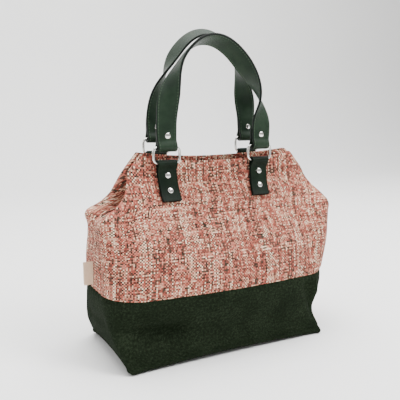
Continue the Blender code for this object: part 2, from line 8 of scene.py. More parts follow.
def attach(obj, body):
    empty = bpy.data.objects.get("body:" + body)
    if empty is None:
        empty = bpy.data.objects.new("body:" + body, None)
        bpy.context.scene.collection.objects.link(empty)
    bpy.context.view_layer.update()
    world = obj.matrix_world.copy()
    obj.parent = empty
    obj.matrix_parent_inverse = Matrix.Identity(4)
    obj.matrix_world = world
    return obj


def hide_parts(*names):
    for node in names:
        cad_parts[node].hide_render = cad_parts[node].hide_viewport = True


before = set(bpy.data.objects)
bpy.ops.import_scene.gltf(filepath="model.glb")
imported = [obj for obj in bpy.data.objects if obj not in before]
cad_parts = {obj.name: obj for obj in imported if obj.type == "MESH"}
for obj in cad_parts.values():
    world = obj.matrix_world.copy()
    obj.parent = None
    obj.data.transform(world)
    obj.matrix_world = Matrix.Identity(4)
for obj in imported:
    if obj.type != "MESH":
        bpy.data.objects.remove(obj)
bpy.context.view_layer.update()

mm = 0.001
front, back = -1, 1
left, right = -1, 1
upward = Vector((0, 0, 1))


def smooth(share):
    # eases from 0 to 1
    share = min(max(share, 0.0), 1.0)
    return share * share * (3 - 2 * share)


def bell(distance, reach):
    # 1 at the middle, and next to nothing past twice the reach
    return math.exp(-(distance / reach) ** 2)


def lengthsAlong(points):
    # how far each point lies along the line through them all
    run = [0.0]
    for first, second in zip(points, points[1:]):
        run.append(run[-1] + (second - first).length)
    return run


class Number:
    # a value inside a material, so that shader maths reads as Python
    def __init__(self, finish, socket):
        self.finish = finish
        self.socket = socket

    def maths(self, operation, first, second=None):
        values = {0: first}
        if second is not None:
            values[1] = second
        made = self.finish.node("ShaderNodeMath", {"operation": operation}, values)
        return Number(self.finish, made.outputs[0])

    def __add__(self, other):
        return self.maths("ADD", self, other)

    def __radd__(self, other):
        return self.maths("ADD", other, self)

    def __sub__(self, other):
        return self.maths("SUBTRACT", self, other)

    def __rsub__(self, other):
        return self.maths("SUBTRACT", other, self)

    def __mul__(self, other):
        return self.maths("MULTIPLY", self, other)

    def __rmul__(self, other):
        return self.maths("MULTIPLY", other, self)

    def __truediv__(self, other):
        return self.maths("DIVIDE", self, other)

    def __mod__(self, other):
        return self.maths("FLOORED_MODULO", self, other)

    def __abs__(self):
        return self.maths("ABSOLUTE", self)

    def floor(self):
        return self.maths("FLOOR", self)

    def sine(self):
        return self.maths("SINE", self)

    def eased(self, low, high):
        # 0 at low, 1 at high, and smooth between them
        made = self.finish.node("ShaderNodeMapRange", {"interpolation_type": "SMOOTHSTEP"},
                                {0: self, 1: low, 2: high})
        return Number(self.finish, made.outputs[0])


class Finish:
    # one procedural material and its nodes
    def __init__(self, name, roughness, metallic=0.0, sheen=0.0, specular=0.5):
        self.material = bpy.data.materials.new(name)
        self.material.use_nodes = True
        self.tree = self.material.node_tree
        self.shader = self.tree.nodes["Principled BSDF"]
        self.set("Roughness", roughness)
        self.set("Metallic", metallic)
        self.set("Specular IOR Level", specular)
        self.set("Sheen Weight", sheen)
        self.set("Sheen Roughness", 0.6)

    def node(self, kind, settings=None, values=None):
        made = self.tree.nodes.new(kind)
        for key, value in (settings or {}).items():
            if key == "stops":
                ramp = made.color_ramp
                while len(ramp.elements) < len(value):
                    ramp.elements.new(0.5)
                for element, (place, colour) in zip(ramp.elements, value):
                    element.position = place
                    element.color = (*colour, 1.0)
            else:
                setattr(made, key, value)
        for key, value in (values or {}).items():
            self.feed(made.inputs[key], value)
        return made

    def feed(self, socket, value):
        if isinstance(value, Number):
            value = value.socket
        if isinstance(value, bpy.types.NodeSocket):
            self.tree.links.new(value, socket)
        else:
            socket.default_value = value

    def set(self, name, value):
        self.feed(self.shader.inputs[name], value)

    def place(self):
        return self.node("ShaderNodeTexCoord").outputs["Object"]

    def clothPlace(self):
        # across and along the cloth or strap, in metres
        place = self.node("ShaderNodeUVMap", {"uv_map": "cloth"}).outputs[0]
        parts = self.node("ShaderNodeSeparateXYZ", {}, {0: place})
        return Number(self, parts.outputs[0]), Number(self, parts.outputs[1])

    def vector(self, x, y, z=0.0):
        return self.node("ShaderNodeCombineXYZ", {}, {0: x, 1: y, 2: z}).outputs[0]

    def noise(self, vector, scale, detail=2.0, roughness=0.5):
        made = self.node("ShaderNodeTexNoise", {}, {"Vector": vector, "Scale": scale, "Detail": detail,
                                                    "Roughness": roughness})
        return Number(self, made.outputs["Fac"])

    def chance(self, vector):
        # an even random number for each whole-numbered place
        made = self.node("ShaderNodeTexWhiteNoise", {"noise_dimensions": "2D"}, {"Vector": vector})
        return Number(self, made.outputs["Value"])

    def cells(self, vector, scale):
        # 0 in the cracks between the cells
        made = self.node("ShaderNodeTexVoronoi", {"feature": "DISTANCE_TO_EDGE"},
                         {"Vector": vector, "Scale": scale})
        return Number(self, made.outputs["Distance"])

    def ramp(self, value, stops):
        return self.node("ShaderNodeValToRGB", {"stops": stops}, {0: value}).outputs[0]

    def mix(self, share, first, second):
        return self.node("ShaderNodeMix", {"data_type": "RGBA"}, {0: share, 6: first, 7: second}).outputs[2]

    def bump(self, height, distance, strength):
        values = {"Height": height, "Distance": distance, "Strength": strength}
        return self.node("ShaderNodeBump", {}, values).outputs[0]


def colour(parts, share=1.0):
    # a colour with its alpha, darker where the share is under one
    return (*(share * part for part in parts), 1.0)


tweedLook = {
    "yarn": 2.1 * mm,                 # from one yarn to the next
    "wander": 0.5, "warpWander": 45.0, "weftWander": 38.0,      # how far yarns stray, in yarns, and how often
    "fall": 0.8, "dip": 0.45,         # how far a yarn falls to its sides, and to the yarns that cross it
    "fuzz": 0.45, "fuzzScale": 2600.0,
    "relief": 0.6 * mm, "strength": 0.8,
    "pit": (0.028, 0.015, 0.011), "pitShadeShare": 0.9,              # painted shade in the holes between the yarns, and how far it darkens them
    "patch": 0.5, "patchScale": 17.0,
    # what a yarn's shade is made of: its own share, its slubs, each crossing, and the level they start from
    "warp": {"own": 0.52, "slub": 1.6, "crossing": 0.56, "level": 0.325},
    "weft": {"own": 0.46, "slub": 1.4, "crossing": 0.62, "level": 0.17},
    # the colours that each kind of yarn runs through, dark to light
    "warpColours": (
        (0.00, (0.018, 0.012, 0.008)), (0.18, (0.075, 0.050, 0.034)), (0.30, (0.170, 0.044, 0.032)),
        (0.43, (0.400, 0.076, 0.054)), (0.56, (0.540, 0.155, 0.108)), (0.70, (0.610, 0.255, 0.175)),
        (0.85, (0.740, 0.440, 0.285)), (1.00, (0.920, 0.720, 0.520)),
    ),
    "weftColours": (
        (0.00, (0.012, 0.011, 0.008)), (0.20, (0.050, 0.044, 0.030)), (0.34, (0.115, 0.055, 0.038)),
        (0.46, (0.275, 0.064, 0.044)), (0.58, (0.410, 0.145, 0.102)), (0.72, (0.500, 0.255, 0.165)),
        (0.86, (0.680, 0.455, 0.305)), (1.00, (0.900, 0.745, 0.560)),
    ),
}


def tweedFinish():
    cloth = Finish("wovenTweed", 0.95, sheen=0.04, specular=0.08)
    u, v = cloth.clothPlace()
    flat = cloth.vector(u, v)
    yarn = tweedLook["yarn"]
    drift = cloth.noise(flat, tweedLook["warpWander"], 1.0) - 0.5
    sway = cloth.noise(cloth.vector(v, u), tweedLook["weftWander"], 1.0) - 0.5
    warp = u / yarn + drift * tweedLook["wander"]
    weft = v / yarn + sway * tweedLook["wander"]
    warpYarn = warp.floor()
    weftYarn = weft.floor()
    warpAcross = (warp - warpYarn) * 2 - 1
    weftAcross = (weft - weftYarn) * 2 - 1
    warpOnTop = (warpYarn + weftYarn) % 2
    # each yarn has a shade of its own, which wanders along it in slubs
    warpSlub = cloth.noise(cloth.vector(warpYarn * 0.36, v * 46), 1.0, 2.5, 0.75) - 0.5
    weftSlub = cloth.noise(cloth.vector(u * 70, weftYarn * 0.55), 1.0, 2.5, 0.75) - 0.5
    patch = cloth.noise(cloth.vector(u * 1.5, v * 0.8), tweedLook["patchScale"]) - 0.5
    crossing = cloth.chance(cloth.vector(warpYarn, weftYarn)) - 0.5

    def yarnColour(own, slub, parts, colours):
        shade = own * parts["own"] + slub * parts["slub"] + parts["level"] + patch * tweedLook["patch"]
        return cloth.ramp(shade + crossing * parts["crossing"], colours)

    # the constants keep the two kinds of yarn from drawing the same numbers
    warpOwn = cloth.chance(cloth.vector(warpYarn, 3.0))
    weftOwn = cloth.chance(cloth.vector(5.0, weftYarn))
    warpColour = yarnColour(warpOwn, warpSlub, tweedLook["warp"], tweedLook["warpColours"])
    weftColour = yarnColour(weftOwn, weftSlub, tweedLook["weft"], tweedLook["weftColours"])
    shade = cloth.mix(warpOnTop, weftColour, warpColour)

    def yarnHeight(across, along):
        return (1 - across * across * tweedLook["fall"]) * (1 - along * along * tweedLook["dip"])

    # the rounded top of whichever yarn shows, with painted shade in the pits between them
    height = (yarnHeight(warpAcross, weftAcross) * warpOnTop
              + yarnHeight(weftAcross, warpAcross) * (1 - warpOnTop))
    fuzz = cloth.noise(flat, tweedLook["fuzzScale"], 2.0, 0.7)
    height = height + (fuzz - 0.5) * tweedLook["fuzz"]
    # painted shade: the colour darkens towards the pit colour where the yarns fall away
    pit = 1 - height.eased(0.12, 0.66)
    cloth.set("Base Color", cloth.mix(pit * tweedLook["pitShadeShare"], shade, colour(tweedLook["pit"])))
    cloth.set("Normal", cloth.bump(height, tweedLook["relief"], tweedLook["strength"]))
    return cloth.material


woolLook = {
    "yarn": 0.95 * mm, "twillSlope": 0.55, "crossSlope": 1.7,
    "fibres": 1500.0, "clumps": 330.0, "cloud": 28.0,           # how fine each layer of mottling is
    "tone": 0.42,
    "colours": ((0.0, (0.0035, 0.0058, 0.0028)), (0.45, (0.0085, 0.0135, 0.0068)),
                (1.0, (0.030, 0.040, 0.024))),
    "relief": 0.22 * mm, "strength": 0.7,
}


def woolFinish():
    cloth = Finish("greenWool", 0.97, specular=0.04)
    u, v = cloth.clothPlace()
    flat = cloth.vector(u, v)
    warp = u / woolLook["yarn"]
    weft = v / woolLook["yarn"]
    ridge = ((warp + weft * woolLook["twillSlope"]) * math.pi).sine()
    cross = ((warp - weft * woolLook["crossSlope"]) * math.pi).sine()
    fibres = cloth.noise(flat, woolLook["fibres"], 3.0, 0.75) - 0.5
    clumps = cloth.noise(flat, woolLook["clumps"], 3.0, 0.65) - 0.5
    cloud = cloth.noise(flat, woolLook["cloud"]) - 0.5
    tone = fibres * 1.5 + clumps * 1.5 + cloud * 0.5 + woolLook["tone"] + ridge * 0.05
    cloth.set("Base Color", cloth.ramp(tone, woolLook["colours"]))
    height = ridge * 0.3 + cross * 0.2 + fibres * 1.6 + clumps
    cloth.set("Normal", cloth.bump(height, woolLook["relief"], woolLook["strength"]))
    return cloth.material


leatherLook = {
    "body": (0.0050, 0.0125, 0.0062),
    "light": (0.0105, 0.0220, 0.0115),
    "edge": (0.0020, 0.0045, 0.0028),
    "grain": 900.0, "fine": 2100.0, "cloud": 42.0,
    "roughness": 0.33,
    "relief": 0.12 * mm, "strength": 0.55,
}


def leatherFinish(name, depth, specular):
    # depth lightens the hide where it is over one and darkens it where it is under one, which gives the tabs
    # their painted shade
    hide = Finish(name, 0.42, specular=specular)
    where = hide.place()
    u, v = hide.clothPlace()
    grain = hide.cells(where, leatherLook["grain"])
    fine = hide.noise(where, leatherLook["fine"])
    cloud = hide.noise(where, leatherLook["cloud"], 3.0)
    shade = hide.mix(cloud.eased(0.35, 0.7), colour(leatherLook["body"], depth),
                     colour(leatherLook["light"], depth))
    # u reaches one at the cut edges, which are painted darker
    edge = abs(u).eased(0.985, 0.998)
    hide.set("Base Color", hide.mix(edge, shade, colour(leatherLook["edge"])))
    hide.set("Roughness", leatherLook["roughness"] + cloud * 0.18 + edge * 0.1)
    height = grain.eased(0.0, 0.16) + fine * 0.35
    hide.set("Normal", hide.bump(height, leatherLook["relief"], leatherLook["strength"]))
    return hide.material


nickelLook = {"dull": (0.66, 0.65, 0.61), "bright": (0.80, 0.79, 0.76), "cloud": 160.0, "rub": 2400.0,
              "roughness": 0.10, "relief": 0.12 * mm, "strength": 0.25}


def nickelFinish():
    metal = Finish("polishedNickel", 0.16, metallic=1.0)
    where = metal.place()
    cloud = metal.noise(where, nickelLook["cloud"], 3.0)
    rub = metal.noise(where, nickelLook["rub"], 2.0, 0.7)
    metal.set("Base Color", metal.mix(cloud, colour(nickelLook["dull"]), colour(nickelLook["bright"])))
    metal.set("Roughness", nickelLook["roughness"] + cloud * 0.10 + rub.eased(0.55, 0.8) * 0.12)
    metal.set("Normal", metal.bump(cloud, nickelLook["relief"], nickelLook["strength"]))
    return metal.material


threadLook = {"twist": 1900.0, "shadow": 0.7, "relief": 0.15 * mm, "strength": 0.6,
              "green": (0.095, 0.130, 0.085), "rust": (0.30, 0.060, 0.036)}


def threadFinish(name, base):
    thread = Finish(name, 0.75, specular=0.15)
    twist = thread.noise(thread.place(), threadLook["twist"])
    thread.set("Base Color", thread.mix(twist, colour(base, threadLook["shadow"]), colour(base)))
    thread.set("Normal", thread.bump(twist, threadLook["relief"], threadLook["strength"]))
    return thread.material


ribbonLook = {"thread": 0.42 * mm, "cloud": 300.0, "relief": 0.12 * mm, "strength": 0.6,
              "shade": (0.72, 0.50, 0.33), "light": (0.84, 0.66, 0.49), "gap": (0.52, 0.40, 0.30),
              "gapShadeShare": 0.25}


def ribbonFinish():
    ribbon = Finish("creamRibbon", 0.9, specular=0.1)
    u, v = ribbon.clothPlace()
    along = ((u / ribbonLook["thread"]) * math.pi).sine()
    across = ((v / ribbonLook["thread"]) * math.pi).sine()
    soft = ribbon.noise(ribbon.vector(u, v), ribbonLook["cloud"], 3.0)
    shade = ribbon.mix(soft, colour(ribbonLook["shade"]), colour(ribbonLook["light"]))
    # painted shade: darker where the threads dip between one another
    gapShading = (1 - abs(along * across)) * ribbonLook["gapShadeShare"]
    ribbon.set("Base Color", ribbon.mix(gapShading, shade, colour(ribbonLook["gap"])))
    height = abs(along) * 0.6 + abs(across) * 0.6 + soft * 0.4
    ribbon.set("Normal", ribbon.bump(height, ribbonLook["relief"], ribbonLook["strength"]))
    return ribbon.material


finishes = {
    "tweed": tweedFinish(),
    "dark_wool": woolFinish(),
    "green_leather": leatherFinish("greenLeather", 1.3, 0.14),
    # the tabs take the handles' leather made darker, as painted shade
    "tabLeather": leatherFinish("tabLeather", 0.6, 0.08),
    "nickel": nickelFinish(),
    "cream_ribbon": ribbonFinish(),
    "greenThread": threadFinish("greenThread", threadLook["green"]),
    "rustThread": threadFinish("rustThread", threadLook["rust"]),
}
print("finishes ready")


sameSpot = mm / 2000          # points closer than this are one point
sharpAngle = math.radians(48)


def settle(name, mesh, slot, finish=None):
    # turns a finished bmesh into a piece of the bag, which stands for the CAD node of its name if there
    # is one; that node keeps its name, so the piece for tweed_upper is tweedUpper
    words = name.split("_")
    pieceName = words[0] + "".join(word.capitalize() for word in words[1:])
    data = bpy.data.meshes.new(pieceName)
    mesh.to_mesh(data)
    mesh.free()
    data.shade_smooth()
    data.set_sharp_from_angle(angle=sharpAngle)
    data.materials.append(finishes[finish or slot])
    piece = bpy.data.objects.new(pieceName, data)
    bpy.context.scene.collection.objects.link(piece)
    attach(piece, "root")
    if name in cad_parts:
        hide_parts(name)


def wrappedGrid(rows, clothPlace, closedRows=False):
    # a grid laid on rows of points, where each row is a closed ring; clothPlace gives the cloth's own
    # place of a corner from its column, its row, and the first column of its face
    around = len(rows[0])
    steps = len(rows) if closedRows else len(rows) - 1
    mesh = bmesh.new()
    mesh.loops.layers.uv.new("cloth")
    bmesh.ops.create_grid(mesh, x_segments=around, y_segments=steps, size=1.0, calc_uvs=True)
    layer = mesh.loops.layers.uv["cloth"]
    for face in mesh.faces:
        spots = [(round(loop[layer].uv.x * around), round(loop[layer].uv.y * steps)) for loop in face.loops]
        first = min(column for column, row in spots)
        for loop, (column, row) in zip(face.loops, spots):
            loop[layer].uv = clothPlace(column, row, first)
    for vert in mesh.verts:
        column = round((vert.co.x + 1) / 2 * around) % around
        row = round((vert.co.y + 1) / 2 * steps) % len(rows)
        vert.co = rows[row][column]
    bmesh.ops.remove_doubles(mesh, verts=mesh.verts, dist=sameSpot)
    return mesh


def closeEnds(mesh, markedPlace):
    # caps the open ends of a swept strip
    layer = mesh.loops.layers.uv["cloth"]
    edges = [edge for edge in mesh.edges if edge.is_boundary]
    made = bmesh.ops.holes_fill(mesh, edges=edges, sides=0)
    for face in made["faces"]:
        for loop in face.loops:
            loop[layer].uv = markedPlace
    bmesh.ops.recalc_face_normals(mesh, faces=mesh.faces)


bag = {
    "wall": 2.2 * mm, "seamGap": 0.3 * mm,
    "baseWidth": 306 * mm, "baseDepth": 160 * mm, "baseCorner": 6 * mm,
    "baseFold": 4 * mm, "baseLift": 4.5 * mm,
    "seamHeight": 96 * mm, "seamWidth": 352 * mm, "seamDepth": 176 * mm, "seamCorner": 44 * mm,
    "shoulderHeight": 200 * mm, "shoulderWidth": 375 * mm, "shoulderDepth": 90 * mm,
    "shoulderCorner": 16 * mm,
    "lipHeight": 274 * mm, "mouthWidth": 252 * mm, "lipSpread": 24 * mm, "lipSag": 8 * mm,
    "backLipRise": 6 * mm,
    "foldRadius": 3.3 * mm, "flankCut": 0.8, "tuckCut": 0.85, "tuckDepth": 26 * mm,
    "dentDepth": 7 * mm,
    "hemWidth": 9 * mm, "hemSwell": 0.5 * mm, "hemFade": 3 * mm,
    "stitchDrop": 6.5 * mm, "stitchPinch": 0.35 * mm, "stitchPinchReach": 1.1 * mm,
    "seamPinch": 1.7 * mm, "seamPinchReach": 3.5 * mm,
    "pucker": 0.35 * mm, "puckerLength": 11 * mm, "puckerReach": 11 * mm, "puckerDrift": 30 * mm,
    "boxSeam": 11 * mm, "boxPinch": 1.3 * mm, "boxPinchReach": 2.3 * mm,
    "cornerPoint": 3.5 * mm, "cornerDepthShare": 0.6, "cornerReach": 11 * mm, "cornerRise": 22 * mm,
    "ripple": 1.5 * mm, "rippleSize": 46 * mm, "crumple": 0.28 * mm, "crumpleSize": 13 * mm,
    # the cloth lies calm this near to the lip and to the floor, and folds freely past the fades
    "calmLip": 4 * mm, "lipFade": 30 * mm, "calmFloor": 3 * mm, "floorFade": 26 * mm,
}
floorLevel = bag["wall"] / 2

# half widths to the left and right, half depth at the panel's ends and middle, plan corner, end fold
sectionColumns = ("height", "left", "right", "ridge", "middle", "corner", "tuck")
stations = {
    "base": (0.0, bag["baseWidth"] * 0.494, bag["baseWidth"] * 0.506, bag["baseDepth"] / 2,
             bag["baseDepth"] / 2, bag["baseCorner"], 0.0),
    "seam": (bag["seamHeight"], bag["seamWidth"] * 0.495, bag["seamWidth"] * 0.505, bag["seamDepth"] * 0.42,
             bag["seamDepth"] / 2, bag["seamCorner"], 0.0),
    "shoulder": (bag["shoulderHeight"], bag["shoulderWidth"] * 0.464, bag["shoulderWidth"] * 0.536,
                 bag["shoulderDepth"] / 2, bag["shoulderDepth"] * 0.37, bag["shoulderCorner"],
                 bag["tuckDepth"] * 0.45),
    "mouth": (bag["lipHeight"], bag["mouthWidth"] * 0.43, bag["mouthWidth"] * 0.57, bag["foldRadius"] * 3,
              (bag["lipSpread"] - bag["wall"]) / 2, bag["foldRadius"], bag["tuckDepth"]),
}

# shares of the way from one station to the next, column by column
sections = {
    ("base", "seam"): (
        (0.16, 0.34, 0.00, 0.10, 0.12, 0.10, 0.0),
        (0.36, 0.68, 0.05, 0.20, 0.30, 0.30, 0.0),
        (0.60, 0.88, 0.30, 0.40, 0.58, 0.60, 0.0),
        (0.82, 0.97, 0.75, 0.75, 0.86, 0.85, 0.0),
    ),
    ("seam", "shoulder"): (
        (0.22, -0.30, 0.25, 0.06, 0.06, 0.10, 0.0),
        (0.45, -0.60, 0.50, 0.24, 0.26, 0.35, 0.0),
        (0.68, -0.20, 0.76, 0.52, 0.56, 0.62, 0.0),
        (0.86, 0.45, 0.94, 0.78, 0.82, 0.85, 0.3),
    ),
    ("shoulder", "mouth"): (
        (0.14, 0.26, 0.10, 0.30, 0.30, 0.32, 0.45),
        (0.30, 0.45, 0.27, 0.62, 0.54, 0.64, 0.75),
        (0.50, 0.58, 0.48, 0.84, 0.76, 0.86, 0.90),
        (0.76, 0.77, 0.74, 0.95, 0.92, 0.97, 1.00),
    ),
}

# broad hollows: facing, across, up, reach across, reach up, depth
dents = (
    ((1, -0.4), -0.62, 0.155, 0.55, 0.085, 1.0),
    ((0, -1), -0.62, 0.175, 0.24, 0.045, 0.6),
    ((-1, 0), 0.10, 0.600, 0.50, 0.075, 0.5),
    ((0, -1), 0.20, 0.560, 0.16, 0.090, 0.5),
    ((0, -1), -0.30, 0.520, 0.10, 0.110, -0.4),
    ((0, 1), 0.10, 0.480, 0.30, 0.120, 0.6),
    ((0, 1), -0.45, 0.200, 0.30, 0.060, 0.5),
)

# creases of the cloth: facing, then from and to as mm across and up, half width and depth in mm
creases = (
    ((0, -1), (-138, 196), (-160, 152), 16, 8.0),
    ((0, -1), (-108, 236), (-124, 170), 9, -2.0),
    ((0, -1), (-60, 196), (-80, 120), 13, 1.8),
    ((0, -1), (-5, 240), (10, 150), 16, 2.0),
    ((0, -1), (45, 200), (60, 118), 14, -1.6),
    ((0, -1), (118, 205), (140, 130), 12, 2.8),
    ((0, -1), (150, 186), (120, 236), 9, 1.8),
    ((0, -1), (-158, 60), (-84, 50), 15, 13.0),
    ((0, -1), (-60, 34), (70, 42), 18, 2.2),
    ((0, -1), (126, 80), (146, 28), 8, 6.5),
    ((0, -1), (142, 84), (160, 40), 5, -3.4),
    ((0, 1), (-120, 205), (-145, 140), 11, 1.8),
    ((0, 1), (112, 210), (140, 140), 11, 1.8),
    ((0, 1), (-20, 225), (-5, 150), 14, 1.3),
    ((0, 1), (60, 190), (50, 120), 12, -0.9),
    ((0, 1), (-110, 60), (-40, 44), 10, 1.6),
    ((0, 1), (60, 40), (130, 58), 10, 1.6),
    ((-1, 0), (-42, 178), (-30, 110), 8, 1.8),
    ((-1, 0), (38, 180), (26, 112), 8, 1.8),
    ((-1, 0), (-30, 60), (36, 52), 9, 1.6),
    ((1, 0), (-40, 180), (-26, 112), 8, 1.8),
    ((1, 0), (42, 178), (30, 108), 8, 1.6),
    ((1, 0), (-36, 66), (10, 30), 8, 1.8),
    ((1, 0), (40, 70), (14, 28), 8, 1.4),
)


def bodyRows():
    rows = [dict(zip(sectionColumns, stations["base"]))]
    for (lowerName, upperName), table in sections.items():
        lower = stations[lowerName]
        upper = stations[upperName]
        for shares in table:
            values = [start + share * (end - start) for start, end, share in zip(lower, upper, shares)]
            rows.append(dict(zip(sectionColumns, values)))
        rows.append(dict(zip(sectionColumns, upper)))
    return rows


wallRows = bodyRows()


def sectionAt(height):
    # a smooth curve through the rows, column by column
    index = 0
    while index < len(wallRows) - 2 and wallRows[index + 1]["height"] < height:
        index += 1
    before = wallRows[max(index - 1, 0)]
    start = wallRows[index]
    end = wallRows[index + 1]
    after = wallRows[min(index + 2, len(wallRows) - 1)]
    span = end["height"] - start["height"]
    t = (height - start["height"]) / span
    section = {"height": height}
    for name in sectionColumns[1:]:
        slopeIn = (end[name] - before[name]) / (end["height"] - before["height"]) * span
        slopeOut = (after[name] - start[name]) / (after["height"] - start["height"]) * span
        section[name] = ((2 * t ** 3 - 3 * t ** 2 + 1) * start[name] + (t ** 3 - 2 * t ** 2 + t) * slopeIn
                         + (3 * t ** 2 - 2 * t ** 3) * end[name] + (t ** 3 - t ** 2) * slopeOut)
    return section


def roundedCorner(before, corner, after, cut, steps):
    # an arc that leaves both sides of the corner at the same distance
    into = (corner - before).normalized()
    out = (after - corner).normalized()
    start = corner - into * cut
    end = corner + out * cut
    weight = math.sqrt(max((1 + into.dot(out)) / 2, 0.0))
    points = []
    for step in range(steps + 1):
        t = step / steps
        parts = ((1 - t) ** 2, 2 * weight * t * (1 - t), t ** 2)
        points.append((start * parts[0] + corner * parts[1] + end * parts[2]) / sum(parts))
    return points


planSteps = {"ridge": 8, "flank": 8, "tuck": 8, "ridgeRun": 4, "flankRun": 8, "tuckRun": 2, "panelRun": 72}
leftTuck = 8                  # the corner before the middle of the left end


def endReach(section, x):
    return section["right"] if x > 0 else section["left"]


def inwardShare(section, x):
    # 0 at the ends of the bag and 1 in its middle
    return 1 - min(abs(x) / endReach(section, x), 1.0) ** 2


def bow(section, x):
    return 1 + (section["middle"] / section["ridge"] - 1) * inwardShare(section, x)


def planCorners(section):
    # the corners of the plan, each with its cut, its steps and the steps of the run after it
    ridge = section["ridge"]
    inner = (ridge - section["corner"]) / 2
    flank = math.hypot(section["tuck"], inner - bag["foldRadius"]) - bag["foldRadius"]
    runs = [planSteps[f"{name}Run"] for name in ("ridge", "flank", "tuck", "flank", "ridge", "panel")]
    corners = []
    for reach, hand in ((section["right"], right), (section["left"], left)):
        half = [(reach, -ridge, section["corner"], planSteps["ridge"]),
                (reach, -inner, min(inner, flank) * bag["flankCut"], planSteps["flank"]),
                (reach - section["tuck"], -bag["foldRadius"], bag["foldRadius"] * bag["tuckCut"],
                 planSteps["tuck"])]
        end = half + [(x, -y, cut, steps) for x, y, cut, steps in reversed(half)]
        if hand == left:
            end = [(-x, y, cut, steps) for x, y, cut, steps in reversed(end)]
        corners += [(Vector((x, y)), cut, steps, run) for (x, y, cut, steps), run in zip(end, runs)]
    return corners


def planRing(section):
    # the closed plan of the wall's middle, from the middle of the left end round the front
    corners = planCorners(section)
    arcs = []
    for index, (corner, cut, steps, run) in enumerate(corners):
        before = corners[index - 1][0]
        after = corners[(index + 1) % len(corners)][0]
        arcs.append(roundedCorner(before, corner, after, cut, steps))
    points = []
    for index, arc in enumerate(arcs):
        run = corners[index][3]
        following = arcs[(index + 1) % len(arcs)][0]
        points += arc
        for step in range(1, run):
            if index == leftTuck and step == run // 2:
                startAt = len(points)
            points.append(arc[-1].lerp(following, step / run))
    points = points[startAt:] + points[:startAt]
    return [Vector((p.x, p.y * bow(section, p.x))) for p in points]


def lipHeight(section, x, y):
    behind = min(max(0.5 + 0.5 * y / section["ridge"], 0.0), 1.0)
    return bag["lipHeight"] - bag["lipSag"] * inwardShare(section, x) + bag["backLipRise"] * behind


def raised(section, x, y):
    # above the shoulder, the rows spread to follow the lip
    height = section["height"]
    if height <= bag["shoulderHeight"]:
        return height
    share = (height - bag["shoulderHeight"]) / (bag["lipHeight"] - bag["shoulderHeight"])
    return bag["shoulderHeight"] + share * (lipHeight(section, x, y) - bag["shoulderHeight"])


def baseLift(x, y):
    # the floor is domed, and lies on the ground along its edges
    across = min(abs(x) / (bag["baseWidth"] / 2), abs(y) / (bag["baseDepth"] / 2), 1.0)
    return bag["baseLift"] * (1 - across ** 2)


def wallRing(height):
    section = sectionAt(height)
    fade = 1 - smooth(height / (bag["seamHeight"] / 2))
    return [Vector((p.x, p.y, raised(section, p.x, p.y) + fade * baseLift(p.x, p.y)))
            for p in planRing(section)]


def ringNormals(rings):
    normals = []
    count = len(rings[0])
    for row, ring in enumerate(rings):
        below = rings[max(row - 1, 0)]
        above = rings[min(row + 1, len(rings) - 1)]
        normals.append([(ring[(k + 1) % count] - ring[k - 1]).cross(above[k] - below[k]).normalized()
                        for k in range(count)])
    return normals


# the tabs' sizes come before the cloth, which lies flat behind them
tab = {
    "spread": 152 * mm, "shift": 3 * mm, "width": 29 * mm, "leather": 2.2 * mm, "drop": 53 * mm,
    "lean": 3 * mm, "seatHeight": 265.5 * mm, "backRise": 11 * mm, "panelGap": 0.7 * mm,
    "groove": 0.22 * mm, "crown": 0.0,
    "flatMargin": 6.5 * mm, "besideFade": 14 * mm, "belowFade": 22 * mm,
}


def clearOfTabs(point):
    # 0 behind a tab, where the cloth lies flat against the leather, and 1 away from it
    nearest = min(abs(point.x - tab["shift"] - hand * tab["spread"] / 2) for hand in (left, right))
    beside = smooth((nearest - tab["width"] / 2 - tab["flatMargin"]) / tab["besideFade"])
    lowest = tab["seatHeight"] - tab["drop"] - tab["flatMargin"]
    below = smooth((lowest - point.z) / tab["belowFade"])
    return max(beside, below)


def dentPush(point, normal):
    # how far the broad hollows lie in
    push = 0.0
    for facing, across, up, reachAcross, reachUp, depth in dents:
        seen = max(normal.dot(Vector((*facing, 0)).normalized()), 0.0)
        place = point.x / (bag["seamWidth"] / 2) if facing[0] == 0 else point.y / (bag["seamDepth"] / 2)
        share = bell(point.z / bag["lipHeight"] - up, reachUp)
        push += seen * depth * bell(place - across, reachAcross) * share
    return push * bag["dentDepth"]


def creasePush(point, normal):
    # each crease is deepest on the line between its two ends
    push = 0.0
    for facing, start, end, width, depth in creases:
        seen = normal.dot(Vector((*facing, 0)))
        if seen <= 0:
            continue
        spot = Vector((point.x if facing[0] == 0 else point.y, point.z)) / mm
        a = Vector(start)
        b = Vector(end)
        share = min(max((spot - a).dot(b - a) / (b - a).length_squared, 0.0), 1.0)
        distance = (spot - a.lerp(b, share)).length
        push += smooth(seen) * depth * bell(distance, width)
    return push * mm


# the folded ends: depth, and how far from the end, how far forward and between what heights they lie
groove = {"depth": 44 * mm, "near": 62 * mm, "nearFade": 36 * mm,
          "forward": 0.26, "reach": 0.30, "reachMore": 3 * mm,
          "low": 190 * mm, "lowFade": 15 * mm, "high": 255 * mm, "highFade": 34 * mm}


def groovePull(point, section):
    # the end of the bag folds in on itself between the shoulder and the mouth
    reach = endReach(section, point.x)
    near = smooth((abs(point.x) - (reach - groove["near"])) / groove["nearFade"])
    middle = -section["ridge"] * groove["forward"]
    across = bell(point.y - middle, section["ridge"] * groove["reach"] + groove["reachMore"])
    low = smooth((point.z - groove["low"]) / groove["lowFade"])
    high = smooth((groove["high"] - point.z) / groove["highFade"])
    return groove["depth"] * near * across * (low * high)


def ripplePush(point):
    # the shifts only choose which part of the noise the bag lies in
    broad = noise.noise(point / bag["rippleSize"] + Vector((7.3, 1.1, 4.7)))
    fine = noise.noise(point / bag["crumpleSize"] + Vector((2.9, 8.4, 0.6)))
    return broad * bag["ripple"] + fine * bag["crumple"]


